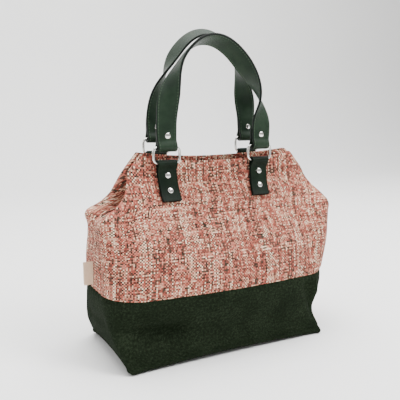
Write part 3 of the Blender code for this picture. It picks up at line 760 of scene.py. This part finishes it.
def floorRings():
    # the bottom from its middle outwards, and the fold up into the wall
    edge = planRing(dict(zip(sectionColumns, stations["base"])))
    count = len(edge)
    inwards = []
    for index in range(count):
        along = (edge[(index + 1) % count] - edge[index - 1]).normalized()
        inwards.append(Vector((-along.y, along.x)))
    rings = []
    for share in (0.03, 0.1, 0.2, 0.32, 0.44, 0.56, 0.68, 0.78, 0.87, 0.94):
        lifted = smooth((share - 0.6) / 0.4)          # the dome rises in the outer part
        insets = [p + n * bag["baseFold"] for p, n in zip(edge, inwards)]
        rings.append([Vector((q.x * share, q.y * share, floorLevel + baseLift(p.x, p.y) * lifted))
                      for p, q in zip(edge, insets)])
    for turn in (0.0, 0.2, 0.4, 0.6, 0.8):
        angle = turn * math.pi / 2
        inset = bag["baseFold"] * (1 - math.sin(angle))
        rise = floorLevel + bag["baseFold"] * (1 - math.cos(angle))
        insets = [p + n * inset for p, n in zip(edge, inwards)]
        rings.append([Vector((q.x, q.y, rise + baseLift(p.x, p.y))) for p, q in zip(edge, insets)])
    return rings


wallSteps = {"wool": 34, "tweed": 62, "hem": 10, "besideSeam": (0.0, 0.6 * mm, 1.4 * mm, 2.4 * mm, 3.8 * mm)}


def wallHeights():
    # the rows of the wool and of the tweed, closer together beside the seam and in the hem
    bottom = bag["baseFold"] + floorLevel
    woolTop = bag["seamHeight"] - bag["seamGap"] / 2
    tweedBottom = bag["seamHeight"] + bag["seamGap"] / 2
    hemBottom = bag["lipHeight"] - bag["hemWidth"]
    close = wallSteps["besideSeam"]
    count = wallSteps["wool"]
    wool = [bottom + (woolTop - close[-1] - bottom) * step / count for step in range(count)]
    wool += [woolTop - drop for drop in reversed(close)]
    tweed = [tweedBottom + rise for rise in close]
    for start, end, count in ((tweed[-1], hemBottom, wallSteps["tweed"]),
                              (hemBottom, bag["lipHeight"], wallSteps["hem"])):
        tweed += [start + (end - start) * step / count for step in range(1, count + 1)]
    return wool, tweed


def shapedPoint(point, normal):
    # where the cloth really lies: pushed in by dents, creases and seams, and rippled where it is free
    upright = 1 - smooth((abs(normal.z) - 0.6) / 0.35)
    free = clearOfTabs(point) * upright
    free *= smooth((bag["lipHeight"] - bag["calmLip"] - point.z) / bag["lipFade"])
    free *= smooth((point.z - bag["calmFloor"]) / bag["floorFade"])
    push = dentPush(point, normal)
    push += free * (creasePush(point, normal) - ripplePush(point))
    seamDistance = abs(point.z - bag["seamHeight"])
    push += bag["seamPinch"] * bell(seamDistance, bag["seamPinchReach"]) * upright
    push += bag["boxPinch"] * bell(point.z - bag["boxSeam"], bag["boxPinchReach"]) * upright
    waver = math.sin((point.x + point.y) / bag["puckerLength"] * 2 * math.pi
                     + 3 * noise.noise(point / bag["puckerDrift"]))
    push += waver * bag["pucker"] * bell(seamDistance, bag["puckerReach"]) * upright
    spot = point - normal * push
    if bag["seamHeight"] < point.z:
        section = sectionAt(min(point.z, bag["lipHeight"]))
        spot.x -= math.copysign(groovePull(point, section), point.x)
    # the sewn corners of the base stand out a little
    aside = Vector((abs(point.x) - bag["baseWidth"] / 2, abs(point.y) - bag["baseDepth"] / 2))
    tip = bag["cornerPoint"] * bell(aside.length, bag["cornerReach"])
    tip *= 1 - smooth(point.z / bag["cornerRise"])
    spot += Vector((math.copysign(tip, point.x), math.copysign(tip, point.y) * bag["cornerDepthShare"], 0))
    return spot


def bodySurface():
    # the middle of the wall from the floor to the lip, split at the seam
    woolHeights, tweedHeights = wallHeights()
    rings = floorRings()
    split = len(rings) + len(woolHeights)
    rings += [wallRing(height) for height in woolHeights + tweedHeights]
    shaped = [[shapedPoint(point, normal) for point, normal in zip(ring, normals)]
              for ring, normals in zip(rings, ringNormals(rings))]
    return shaped[:split], shaped[split:], tweedHeights


def clothWidths(ring):
    # how far each point lies from the middle of its own panel; the back panel's numbers start at 1 m
    run = lengthsAlong(ring + ring[:1])
    half = len(ring) // 2
    frontMiddle = (run[0] + run[half]) / 2
    backMiddle = (run[half] + run[-1]) / 2
    return [place - frontMiddle for place in run], [1.0 + place - backMiddle for place in run]


def shellPiece(name, rings, slot, thickness, openBelow):
    # a wall of cloth: up its outside, over its top edge and down its inside, and then under its bottom
    # edge if it is open below
    normals = ringNormals(rings)
    count = len(rings[0])
    lengths = lengthsAlong([ring[count // 4] for ring in rings])         # up the middle of the front
    widths = [clothWidths(ring) for ring in rings]
    last = len(rings) - 1
    table = []
    sources = []

    def addRow(row, outward, along):
        beyond = {0: rings[1], last: rings[last - 1]}.get(row)
        points = []
        for k in range(count):
            offset = normals[row][k] * (thickness[row] / 2 * outward)
            if along:
                offset += (rings[row][k] - beyond[k]).normalized() * (thickness[row] / 2 * along)
            points.append(rings[row][k] + offset)
        table.append(points)
        within = outward < 0 or (along and row == 0)
        # the cloth runs on over the lip, so the weave inside goes on from the weave outside
        sources.append((row, 2 * lengths[-1] - lengths[row] if within else lengths[row]))

    edgeTurns = [(math.cos(a), math.sin(a)) for a in (math.pi * step / 8 for step in range(1, 8))]
    for row in range(last + 1):
        addRow(row, 1, 0)
    for outward, along in edgeTurns:
        addRow(last, outward, along)
    for row in range(last, -1, -1):
        addRow(row, -1, 0)
    if openBelow:
        for outward, along in edgeTurns:
            addRow(0, -outward, along)

    def clothPlace(column, row, first):
        source, height = sources[min(row, len(sources) - 1)]
        side = 0 if first < count // 2 else 1
        return (widths[source][side][column], height)

    mesh = wrappedGrid(table, clothPlace, closedRows=openBelow)
    if not openBelow:
        layer = mesh.loops.layers.uv["cloth"]
        rims = [edge for edge in mesh.edges if edge.is_boundary]
        made = bmesh.ops.holes_fill(mesh, edges=rims, sides=0)
        poked = bmesh.ops.poke(mesh, faces=made["faces"])
        for face in poked["faces"]:
            for loop in face.loops:
                loop[layer].uv = (loop.vert.co.x, loop.vert.co.y)
    bmesh.ops.recalc_face_normals(mesh, faces=mesh.faces)
    settle(name, mesh, slot)


def tweedThicknessAt(height):
    # thicker in the hem and drawn in along its stitches
    fromLip = bag["lipHeight"] - height
    swell = bag["hemSwell"] * (1 - smooth((fromLip - bag["hemWidth"] * 0.8) / bag["hemFade"]))
    pinch = bag["stitchPinch"] * 2 * bell(fromLip - bag["stitchDrop"], bag["stitchPinchReach"])
    return bag["wall"] + swell - pinch


woolRings, tweedRings, tweedHeights = bodySurface()
tweedThickness = [tweedThicknessAt(height) for height in tweedHeights]
shellPiece("wool_base", woolRings, "dark_wool", [bag["wall"]] * len(woolRings), openBelow=False)
shellPiece("tweed_upper", tweedRings, "tweed", tweedThickness, openBelow=True)
print("body ready")


clearance = 0.3 * mm          # between pieces that touch

metalRing = {"width": 43 * mm, "height": 27 * mm, "wire": 3.6 * mm, "squareness": 4.0, "wrapGap": 0.6 * mm,
             "steps": 96, "sides": 16}

handle = {
    "width": 30 * mm, "footWidth": 28.5 * mm, "leather": 3.6 * mm, "lap": 24 * mm, "steps": 150,
    "groove": 0.25 * mm, "crown": 0.12 * mm,
    "topOffset": 19 * mm, "arch": 2.05, "tilt": math.radians(22), "turn": math.radians(12),
    "rise": {front: 147 * mm, back: 151 * mm}, "skew": {front: -8 * mm, back: 5 * mm},
    "bulge": {front: 3 * mm, back: 0.5 * mm},
    "twistStart": 26 * mm, "twistEnd": 123 * mm, "facingSettled": 70 * mm,
    # the front handle's right leg hangs turned away and bows outwards
    "legTurn": math.radians(9), "legTurnRise": 44 * mm, "legTurnReach": 32 * mm,
    "legBulge": 5.5 * mm, "legBulgeRise": 74 * mm, "legBulgeReach": 34 * mm,
}

rivet = {"upperDrop": 17 * mm, "lowerDrop": 39 * mm, "handleRise": 15 * mm,
         "cap": 8.4 * mm, "capHeight": 2.2 * mm, "back": 7.4 * mm, "backHeight": 1.2 * mm, "post": 2.8 * mm,
         "capMargin": 1 * mm}

stitch = {"inset": 2.7 * mm, "pitch": 4.2 * mm, "length": 3.1 * mm, "thick": 0.7 * mm,
          "hemPitch": 3.6 * mm, "hemLength": 2.7 * mm, "hemThick": 0.55 * mm, "hemLift": 0.05 * mm}

# half the ring's width and height, to the middle of its wire
ringReach = (metalRing["width"] - metalRing["wire"]) / 2
ringRise = (metalRing["height"] - metalRing["wire"]) / 2


def ringDrop(halfWidth):
    # how far a ring's bar has curved away at the edge of the strap that it carries
    square = metalRing["squareness"]
    return ringRise * (1 - (1 - (halfWidth / ringReach) ** square) ** (1 / square))


tabLoop = metalRing["wire"] / 2 + ringDrop(tab["width"] / 2) + metalRing["wrapGap"]
handleLoop = metalRing["wire"] / 2 + ringDrop(handle["footWidth"] / 2) + metalRing["wrapGap"]
# from the middle of the panel's wall to the middle of each layer of a tab
backLayer = bag["wall"] / 2 + tab["panelGap"] + tab["leather"] / 2
frontLayer = backLayer + tab["leather"] + clearance
# where the two layers of a strap lie together, measured from the bar
tabSettled = rivet["upperDrop"] - rivet["cap"] / 2 - rivet["capMargin"]
handleSettled = rivet["handleRise"] - rivet["cap"] / 2 - rivet["capMargin"]


def panelPoint(x, z, side):
    # the middle of a panel's wall, with its outward normal and its level direction
    def at(x, z):
        height = z
        for attempt in range(4):         # the lip's sag moves the section, so it is found in a few rounds
            section = sectionAt(min(height, bag["lipHeight"]))
            ridge = side * section["ridge"]
            top = lipHeight(section, x, ridge)
            if z > bag["shoulderHeight"]:
                share = (z - bag["shoulderHeight"]) / (top - bag["shoulderHeight"])
                height = bag["shoulderHeight"] + share * (bag["lipHeight"] - bag["shoulderHeight"])
        return Vector((x, ridge * bow(section, x), z))

    across = (at(x + mm, z) - at(x - mm, z)).normalized()
    climbing = (at(x, z) - at(x, z - 2 * mm)).normalized()
    return at(x, z), (across.cross(climbing) * -side).normalized(), across


class Seat:
    # where a ring hangs on its tab: the two bars, the level direction and the outward one
    def __init__(self, side, hand):
        self.side = side
        self.hand = hand
        self.x = tab["shift"] + hand * tab["spread"] / 2
        self.z = tab["seatHeight"] + (tab["backRise"] if side == back else 0.0)
        point, normal, across = panelPoint(self.x, self.z, side)
        self.across = across
        self.outward = Vector((normal.x, normal.y, 0)).normalized()
        self.lowerBar = point + self.outward * (backLayer + tab["leather"] / 2 + tabLoop)
        self.upperBar = self.lowerBar + upward * (metalRing["height"] - metalRing["wire"])
        self.label = f"{'front' if side == front else 'back'}_{'left' if hand == left else 'right'}"

    def onPanel(self, drop):
        # the panel behind the tab, this far below the bar
        x = self.x - self.hand * tab["lean"] * drop / tab["drop"]
        return panelPoint(x, self.z - drop, self.side)


seats = [Seat(side, hand) for side in (front, back) for hand in (left, right)]


strapEdge = {"rim": 1.1 * mm, "rimShare": 0.75, "fade": 1.3 * mm, "fadeRise": 0.05 * mm, "lip": 0.6 * mm}
wrapSteps = 20


def strapSection(halfWidth, halfThick, groove, crown):
    # the closed outline of a strap, from the middle of its inner face: across, out, and the place of
    # each point as a share of the half width, which is one on the cut edges
    rim = min(strapEdge["rim"], halfThick * strapEdge["rimShare"])
    seam = halfWidth - stitch["inset"]
    face = [(seam * across, crown * height)
            for across, height in ((0.0, 1.0), (0.25, 0.95), (0.5, 0.75), (0.75, 0.4))]
    face += [(seam - strapEdge["fade"], strapEdge["fadeRise"]), (seam - strapEdge["lip"], 0.0),
             (seam, -groove), (seam + strapEdge["lip"], 0.0), (halfWidth - rim, 0.0)]
    points = [(x, halfThick + y, x / halfWidth) for x, y in face]
    for step in range(1, 4):
        angle = math.pi / 2 * (1 - step / 4)
        points.append((halfWidth - rim + rim * math.cos(angle), halfThick - rim + rim * math.sin(angle),
                       0.999))
    quarter = points + [(halfWidth, halfThick - rim, 1.0), (halfWidth, 0.0, 1.0)]
    upperHalf = [(-x, y, -share) for x, y, share in reversed(quarter[1:])] + quarter
    lowerHalf = [(x, -y, share) for x, y, share in reversed(upperHalf[1:-1])]
    return upperHalf + lowerHalf


def strapPiece(name, frames, finish, groove, crown):
    # sweeps the outline along frames of centre, half width across and half thickness out
    table = []
    for centre, across, out in frames:
        outline = strapSection(across.length, out.length, groove, crown)
        a = across.normalized()
        b = out.normalized()
        table.append([centre + a * x + b * y for x, y, share in outline])
    shares = [share for x, y, share in outline]
    run = lengthsAlong([centre for centre, across, out in frames])
    mesh = wrappedGrid(table, lambda column, row, first: (shares[column % len(shares)], run[row]))
    closeEnds(mesh, (1.0, 0.0))
    settle(name, mesh, "green_leather", finish)


def stitchRun(mesh, path, outs, pitch, length, thick):
    # lays short threads end to end along a path
    run = lengthsAlong(path)
    place = pitch / 2
    index = 0
    while place < run[-1] - pitch / 2:
        while run[index + 1] < place:
            index += 1
        share = (place - run[index]) / (run[index + 1] - run[index])
        spot = path[index].lerp(path[index + 1], share)
        along = (path[index + 1] - path[index]).normalized()
        out = outs[index].lerp(outs[index + 1], share)
        out = (out - along * out.dot(along)).normalized()
        turn = Matrix((along, out.cross(along), out)).transposed().to_4x4()
        size = Matrix.Diagonal((length / 2, thick / 2, thick / 2, 1))
        bmesh.ops.create_icosphere(mesh, subdivisions=1, radius=1.0,
                                   matrix=Matrix.Translation(spot) @ turn @ size)
        place += pitch


def handleStitches(mesh, frames):
    # two rows of stitches along a handle, on its outer and its inner face
    for face in (1, -1):
        for hand in (left, right):
            path = []
            outs = []
            for centre, across, out in frames:
                outward = out.normalized() * face
                inset = across.length - stitch["inset"]
                aside = across.normalized() * hand * inset
                path.append(centre + aside + outward * (out.length - handle["groove"]))
                outs.append(outward)
            stitchRun(mesh, path, outs, stitch["pitch"], stitch["length"], stitch["thick"])


def barWrap(seat, bar, climb, reach, halfWidth, halfLeather):
    # half a turn of a strap over or under a ring's bar, from its inner to its outer side
    frames = []
    for step in range(wrapSteps + 1):
        angle = math.pi * step / wrapSteps
        ray = seat.outward * -math.cos(angle) + upward * (climb * math.sin(angle))
        frames.append((bar + ray * reach, seat.across * halfWidth, ray * halfLeather))
    return frames


def tabFrames(seat):
    # up the layer against the panel, over the bar and down the outer layer
    halfWidth = tab["width"] / 2
    halfLeather = tab["leather"] / 2
    loop = tabLoop + halfLeather
    spare = backLayer + 2 * loop - frontLayer
    drops = [tabSettled * share for share in (0.15, 0.3, 0.45, 0.6, 0.75, 0.9)]
    drops += [tabSettled + (tab["drop"] - tabSettled) * step / 14 for step in range(15)]
    inner = []
    outer = []
    for drop in drops:
        point, normal, across = seat.onPanel(drop)
        inner.append((point + normal * backLayer, across * halfWidth, normal * -halfLeather))
        reach = frontLayer + spare * (1 - smooth(drop / tabSettled))
        outer.append((point + normal * reach, across * halfWidth, normal * halfLeather))
    return inner[::-1] + barWrap(seat, seat.lowerBar, 1, loop, halfWidth, halfLeather) + outer


def ringPiece(seat):
    # a squared loop of round wire
    square = metalRing["squareness"]
    steps = metalRing["steps"]
    sides = metalRing["sides"]
    centre = (seat.lowerBar + seat.upperBar) / 2
    path = []
    for step in range(steps):
        angle = 2 * math.pi * step / steps
        c = math.cos(angle)
        s = math.sin(angle)
        total = abs(c / ringReach) ** square + abs(s / ringRise) ** square
        path.append(centre + (seat.across * c + upward * s) * total ** (-1 / square))
    table = []
    for index, point in enumerate(path):
        along = (path[(index + 1) % steps] - path[index - 1]).normalized()
        out = along.cross(seat.outward).normalized()
        table.append([point + (out * math.cos(a) + seat.outward * math.sin(a)) * metalRing["wire"] / 2
                      for a in (2 * math.pi * k / sides for k in range(sides))])
    mesh = wrappedGrid(table, lambda column, row, first: (column / sides, row / steps), closedRows=True)
    bmesh.ops.recalc_face_normals(mesh, faces=mesh.faces)
    settle(f"ring_{seat.label}", mesh, "nickel")


def archPoint(start, end, side, share):
    # the arch as seen from the front, from the left ring's bar to the right one's
    angle = math.pi * share
    power = 2 / handle["arch"]
    sideways = math.copysign(abs(math.cos(angle)) ** power, math.cos(angle))
    climb = abs(math.sin(angle)) ** power
    middle = (start + end) / 2
    half = (end.x - start.x) / 2 + handle["bulge"][side] * 4 * climb * (1 - climb)
    rise = handle["rise"][side] * climb
    x = middle.x - half * sideways + handle["skew"][side] * climb ** 2
    if side == front and share > 0.5:
        x += handle["legBulge"] * bell(rise - handle["legBulgeRise"], handle["legBulgeReach"])
    return Vector((x, 0, middle.z + rise))


def resampled(points, count):
    # the same line, with its points evenly spaced
    run = lengthsAlong(points)
    result = []
    index = 0
    for step in range(count + 1):
        target = run[-1] * step / count
        while index < len(points) - 2 and run[index + 1] < target:
            index += 1
        share = (target - run[index]) / (run[index + 1] - run[index])
        result.append(points[index].lerp(points[index + 1], share))
    return result


def footOffset(rise):
    # from the bar's middle out to the middle of the outer layer
    loop = handleLoop + handle["leather"] / 2
    laid = (handle["leather"] + clearance) / 2
    return laid + (loop - laid) * (1 - smooth(rise / handleSettled))


def footWidth(rise):
    # half the strap's width, which narrows to pass through the ring
    widening = handle["width"] - handle["footWidth"]
    return (handle["footWidth"] + widening * smooth(rise / handle["lap"])) / 2


def handleFoot(seat):
    # down the inner layer of a handle's end and under the bar
    half = handle["leather"] / 2
    rises = [handle["lap"] + (handleSettled - handle["lap"]) * step / 5 for step in range(6)]
    rises += [handleSettled * share for share in (0.85, 0.7, 0.55, 0.4, 0.25, 0.12)]
    frames = []
    for rise in rises:
        centre = seat.upperBar + upward * rise - seat.outward * footOffset(rise)
        frames.append((centre, seat.across * footWidth(rise), seat.outward * -half))
    return frames + barWrap(seat, seat.upperBar, -1, handleLoop + half, footWidth(0.0), half)


def handleFrames(start, end):
    # the whole strap: flat at the rings, turning about its length on the way up to the top
    side = start.side
    half = handle["leather"] / 2
    dense = [archPoint(start.upperBar, end.upperBar, side, k / 800) for k in range(801)]
    path = resampled(dense, handle["steps"])
    centres = []
    outwards = []
    rises = []
    for point in path:
        rise = point.z - start.upperBar.z
        share = smooth(rise / handle["rise"][side])
        seat = start if point.x < (start.x + end.x) / 2 + handle["skew"][side] else end
        yaw = handle["turn"]
        if seat is end and side == front:
            yaw += handle["legTurn"] * bell(rise - handle["legTurnRise"], handle["legTurnReach"])
        aside = Vector((math.sin(yaw), side * math.cos(yaw), 0))
        faced = smooth((rise - handle["lap"]) / (handle["facingSettled"] - handle["lap"]))
        stepOut = seat.outward * footOffset(rise)
        foot = seat.upperBar + stepOut
        y = foot.y + (side * handle["topOffset"] - foot.y) * share
        centres.append(Vector((point.x + stepOut.x * (1 - share), y, point.z)))
        outwards.append(seat.outward.lerp(aside, faced).normalized())
        rises.append(rise)
    frames = []
    for index in range(1, len(centres) - 1):
        along = (centres[index + 1] - centres[index - 1]).normalized()
        facing = (outwards[index] - along * outwards[index].dot(along)).normalized()
        over = facing.cross(along) * -side
        twisted = smooth((rises[index] - handle["twistStart"]) / (handle["twistEnd"] - handle["twistStart"]))
        turn = (math.pi / 2 + handle["tilt"]) * twisted
        out = facing * math.cos(turn) + over * math.sin(turn)
        across = along.cross(out) * -side
        frames.append((centres[index], across * footWidth(rises[index]), out * half))
    far = [(centre, -across, out) for centre, across, out in handleFoot(end)[::-1]]
    return handleFoot(start) + frames + far


def rivetProfile(grip):
    # half of a rivet's outline, from the middle of its back to the top of its domed cap
    cap = rivet["cap"] / 2
    under = rivet["back"] / 2
    post = rivet["post"] / 2
    length = grip + 2 * clearance
    tall = rivet["capHeight"]
    low = -rivet["backHeight"]
    dome = [(cap * math.cos(a), length + tall * (0.28 + 0.72 * math.sin(a)))
            for a in (math.pi / 2 * step / 10 for step in range(10))]
    return [(0, low), (under * 0.86, low), (under * 0.97, low * 0.82), (under, low * 0.45), (under, 0),
            (post, 0), (post, length), (cap * 0.96, length), (cap, length + tall * 0.08), *dome,
            (0, length + tall)]


def rivetPiece(name, origin, axis, grip):
    # the profile is turned once round the axis
    mesh = bmesh.new()
    spots = [mesh.verts.new((radius, 0, height)) for radius, height in rivetProfile(grip)]
    edges = [mesh.edges.new(pair) for pair in zip(spots, spots[1:])]
    bmesh.ops.spin(mesh, geom=spots + edges, cent=(0, 0, 0), axis=(0, 0, 1), angle=2 * math.pi, steps=36,
                   use_merge=True)
    bmesh.ops.remove_doubles(mesh, verts=mesh.verts, dist=mm / 1000)
    bmesh.ops.recalc_face_normals(mesh, faces=mesh.faces)
    turn = axis.to_track_quat("Z", "Y").to_matrix().to_4x4()
    bmesh.ops.transform(mesh, matrix=Matrix.Translation(origin) @ turn, verts=mesh.verts)
    settle(name, mesh, "nickel")


# what the rivets hold together
handleGrip = 2 * handle["leather"] + clearance
tabGrip = frontLayer + (tab["leather"] + bag["wall"]) / 2
for seat in seats:
    ringPiece(seat)
    strapPiece(f"tab_{seat.label}", tabFrames(seat), "tabLeather", tab["groove"], tab["crown"])
    for place, drop in (("upper", rivet["upperDrop"]), ("lower", rivet["lowerDrop"])):
        point, normal, across = seat.onPanel(drop)
        under = point - normal * (bag["wall"] / 2 + clearance)
        rivetPiece(f"rivet_{seat.label}_{place}", under, normal, tabGrip)
    under = seat.upperBar + upward * rivet["handleRise"]
    under -= seat.outward * (handle["leather"] + clearance * 1.5)
    rivetPiece(f"rivet_handle_{seat.label}", under, seat.outward, handleGrip)

for start, end in (seats[:2], seats[2:]):
    name = f"handle_{'front' if start.side == front else 'back'}"
    frames = handleFrames(start, end)
    strapPiece(name, frames, "green_leather", handle["groove"], handle["crown"])
    mesh = bmesh.new()
    handleStitches(mesh, frames)
    settle(f"stitches_{name}", mesh, "green_leather", "greenThread")
print("handles ready")


label = {"height": 32 * mm, "reach": 13 * mm, "cloth": 0.8 * mm, "bend": 0.64 * mm, "aboveSeam": 8 * mm,
         "wave": 0.25 * mm, "waveLength": 6 * mm, "steps": 8, "turnSteps": 10, "around": 24}


def labelPiece():
    # a ribbon folded in two, with both ends sewn into the left end of the bag
    middle = bag["seamHeight"] + label["aboveSeam"] + label["height"] / 2
    root = -sectionAt(middle)["left"] - bag["wall"] / 2 - clearance * 2
    tip = root - label["reach"] + label["bend"]
    half = label["cloth"] / 2
    up = upward * label["height"] / 2

    def layer(start, end, side):
        steps = label["steps"]
        return [(Vector((start + (end - start) * step / steps, side * label["bend"], middle)), up,
                 Vector((0, side * half, 0))) for step in range(steps + 1)]

    frames = layer(root, tip, front)
    for step in range(1, label["turnSteps"]):
        angle = math.pi * step / label["turnSteps"]
        ray = Vector((-math.sin(angle), -math.cos(angle), 0))
        frames.append((Vector((tip, 0, middle)) + ray * label["bend"], up, ray * half))
    frames += layer(tip, root, back)
    run = lengthsAlong([centre for centre, across, out in frames])
    around = label["around"]
    table = []
    for place, (centre, across, out) in zip(run, frames):
        wave = label["wave"] * math.sin(place / label["waveLength"])
        row = []
        for k in range(around):
            share = k / around * 4
            edge = 1 - share if share < 2 else share - 3
            face = out if share < 2 else -out
            row.append(centre + across * edge + face + Vector((0, wave * edge, 0)))
        table.append(row)
    mesh = wrappedGrid(table, lambda column, row, first: (run[row], column / around * 2 * label["height"]))
    closeEnds(mesh, (0.0, 0.0))
    settle("side_label", mesh, "cream_ribbon")


labelPiece()


def hemStitches():
    # a row of stitches below the lip, inside and outside both panels
    mesh = bmesh.new()
    line = bag["lipHeight"] - bag["stitchDrop"]
    row = min(range(len(tweedHeights)), key=lambda k: abs(line - tweedHeights[k]))
    ring = tweedRings[row]
    normals = ringNormals(tweedRings[row - 1:row + 2])[1]
    count = len(ring)
    panel = planSteps["panelRun"]
    for middle in (count // 4, 3 * count // 4):
        span = range(middle - panel // 2, middle + panel // 2 + 1)
        for face in (1, -1):
            reach = (tweedThickness[row] / 2 + stitch["hemLift"]) * face
            path = [ring[k] + normals[k] * reach for k in span]
            outs = [normals[k] * face for k in span]
            stitchRun(mesh, path, outs, stitch["hemPitch"], stitch["hemLength"], stitch["hemThick"])
    settle("stitches_mouth", mesh, "tweed", "rustThread")


hemStitches()
print("label and stitches ready")


studio = {
    "cameraPlace": (-0.3775, -0.6966, 0.3279), "turn": math.radians(27.7), "horizon": 82 / 540, "lens": 48.6,
    "floorSize": 4.0, "curveStart": 1.6, "curveRadius": 0.9,
    "paper": ((0.90, 0.90, 0.89), (0.92, 0.92, 0.91)),
    "worldLow": 0.46, "worldHigh": 1.15,
    "glow": {"overhead": (2, -0.1), "behind": (1, -0.7)},       # the axis it grows along, and from where
    "glowFull": 0.8,
    "aim": (0, 0, 0.2),
    # place, size and power
    "lights": {"key": ((1.1, -1.2, 2.1), 0.8, 62.0), "side": ((-1.9, 0.2, 1.1), 1.0, 10.0),
               "top": ((0.1, 0.3, 2.6), 2.4, 150.0)},
}


def floorFinish():
    paper = Finish("paleFloor", 0.9, specular=0.05)
    soft = paper.noise(paper.place(), 3.0)
    dull, bright = studio["paper"]
    paper.set("Base Color", paper.mix(soft, colour(dull), colour(bright)))
    return paper.material


def buildFloor():
    # a floor that curves up behind the bag
    start = studio["curveStart"]
    radius = studio["curveRadius"]
    mesh = bmesh.new()
    bmesh.ops.create_grid(mesh, x_segments=60, y_segments=60, size=studio["floorSize"])
    for vert in mesh.verts:
        behind = max(vert.co.y - start, 0.0)
        if behind:
            angle = min(behind / radius, math.pi / 2)
            rest = max(behind - radius * math.pi / 2, 0.0)
            y = start + radius * math.sin(angle)
            vert.co = Vector((vert.co.x, y, radius * (1 - math.cos(angle)) + rest))
    data = bpy.data.meshes.new("studioFloor")
    mesh.to_mesh(data)
    mesh.free()
    data.shade_smooth()
    data.materials.append(floorFinish())
    floor = bpy.data.objects.new("studioFloor", data)
    bpy.context.scene.collection.objects.link(floor)


def buildWorld():
    # a white sky that is brighter overhead and behind the bag
    world = bpy.data.worlds.new("softWorld")
    world.use_nodes = True
    tree = world.node_tree
    parts = tree.nodes.new("ShaderNodeSeparateXYZ")
    tree.links.new(tree.nodes.new("ShaderNodeTexCoord").outputs["Generated"], parts.inputs[0])
    total = tree.nodes.new("ShaderNodeMath")
    for index, (axis, start) in enumerate(studio["glow"].values()):
        share = tree.nodes.new("ShaderNodeMapRange")
        share.interpolation_type = "SMOOTHSTEP"
        limits = (start, studio["glowFull"], studio["worldLow"] / 2, studio["worldHigh"] / 2)
        for socket, value in zip(share.inputs[1:5], limits):
            socket.default_value = value
        tree.links.new(parts.outputs[axis], share.inputs[0])
        tree.links.new(share.outputs[0], total.inputs[index])
    tree.nodes["Background"].inputs[0].default_value = colour((1.0, 1.0, 1.0))
    tree.links.new(total.outputs[0], tree.nodes["Background"].inputs[1])
    bpy.context.scene.world = world


def buildLights():
    for name, (place, size, power) in studio["lights"].items():
        lamp = bpy.data.lights.new(f"{name}Light", "AREA")
        lamp.size = size
        lamp.energy = power
        light = bpy.data.objects.new(f"{name}Light", lamp)
        light.location = place
        light.rotation_euler = (Vector(studio["aim"]) - Vector(place)).to_track_quat("-Z", "Y").to_euler()
        bpy.context.scene.collection.objects.link(light)


def buildCamera():
    lens = bpy.data.cameras.new("camera")
    lens.lens = studio["lens"]
    lens.sensor_width = 36
    lens.clip_start = 0.01
    camera = bpy.data.objects.new("camera", lens)
    camera.location = studio["cameraPlace"]
    tilt = math.atan(studio["horizon"])
    turn = studio["turn"]
    gaze = Vector((math.sin(turn) * math.cos(tilt), math.cos(turn) * math.cos(tilt), -math.sin(tilt)))
    camera.rotation_euler = gaze.to_track_quat("-Z", "Y").to_euler()
    bpy.context.scene.collection.objects.link(camera)
    bpy.context.scene.camera = camera


buildFloor()
buildWorld()
buildLights()
buildCamera()
print("studio ready")
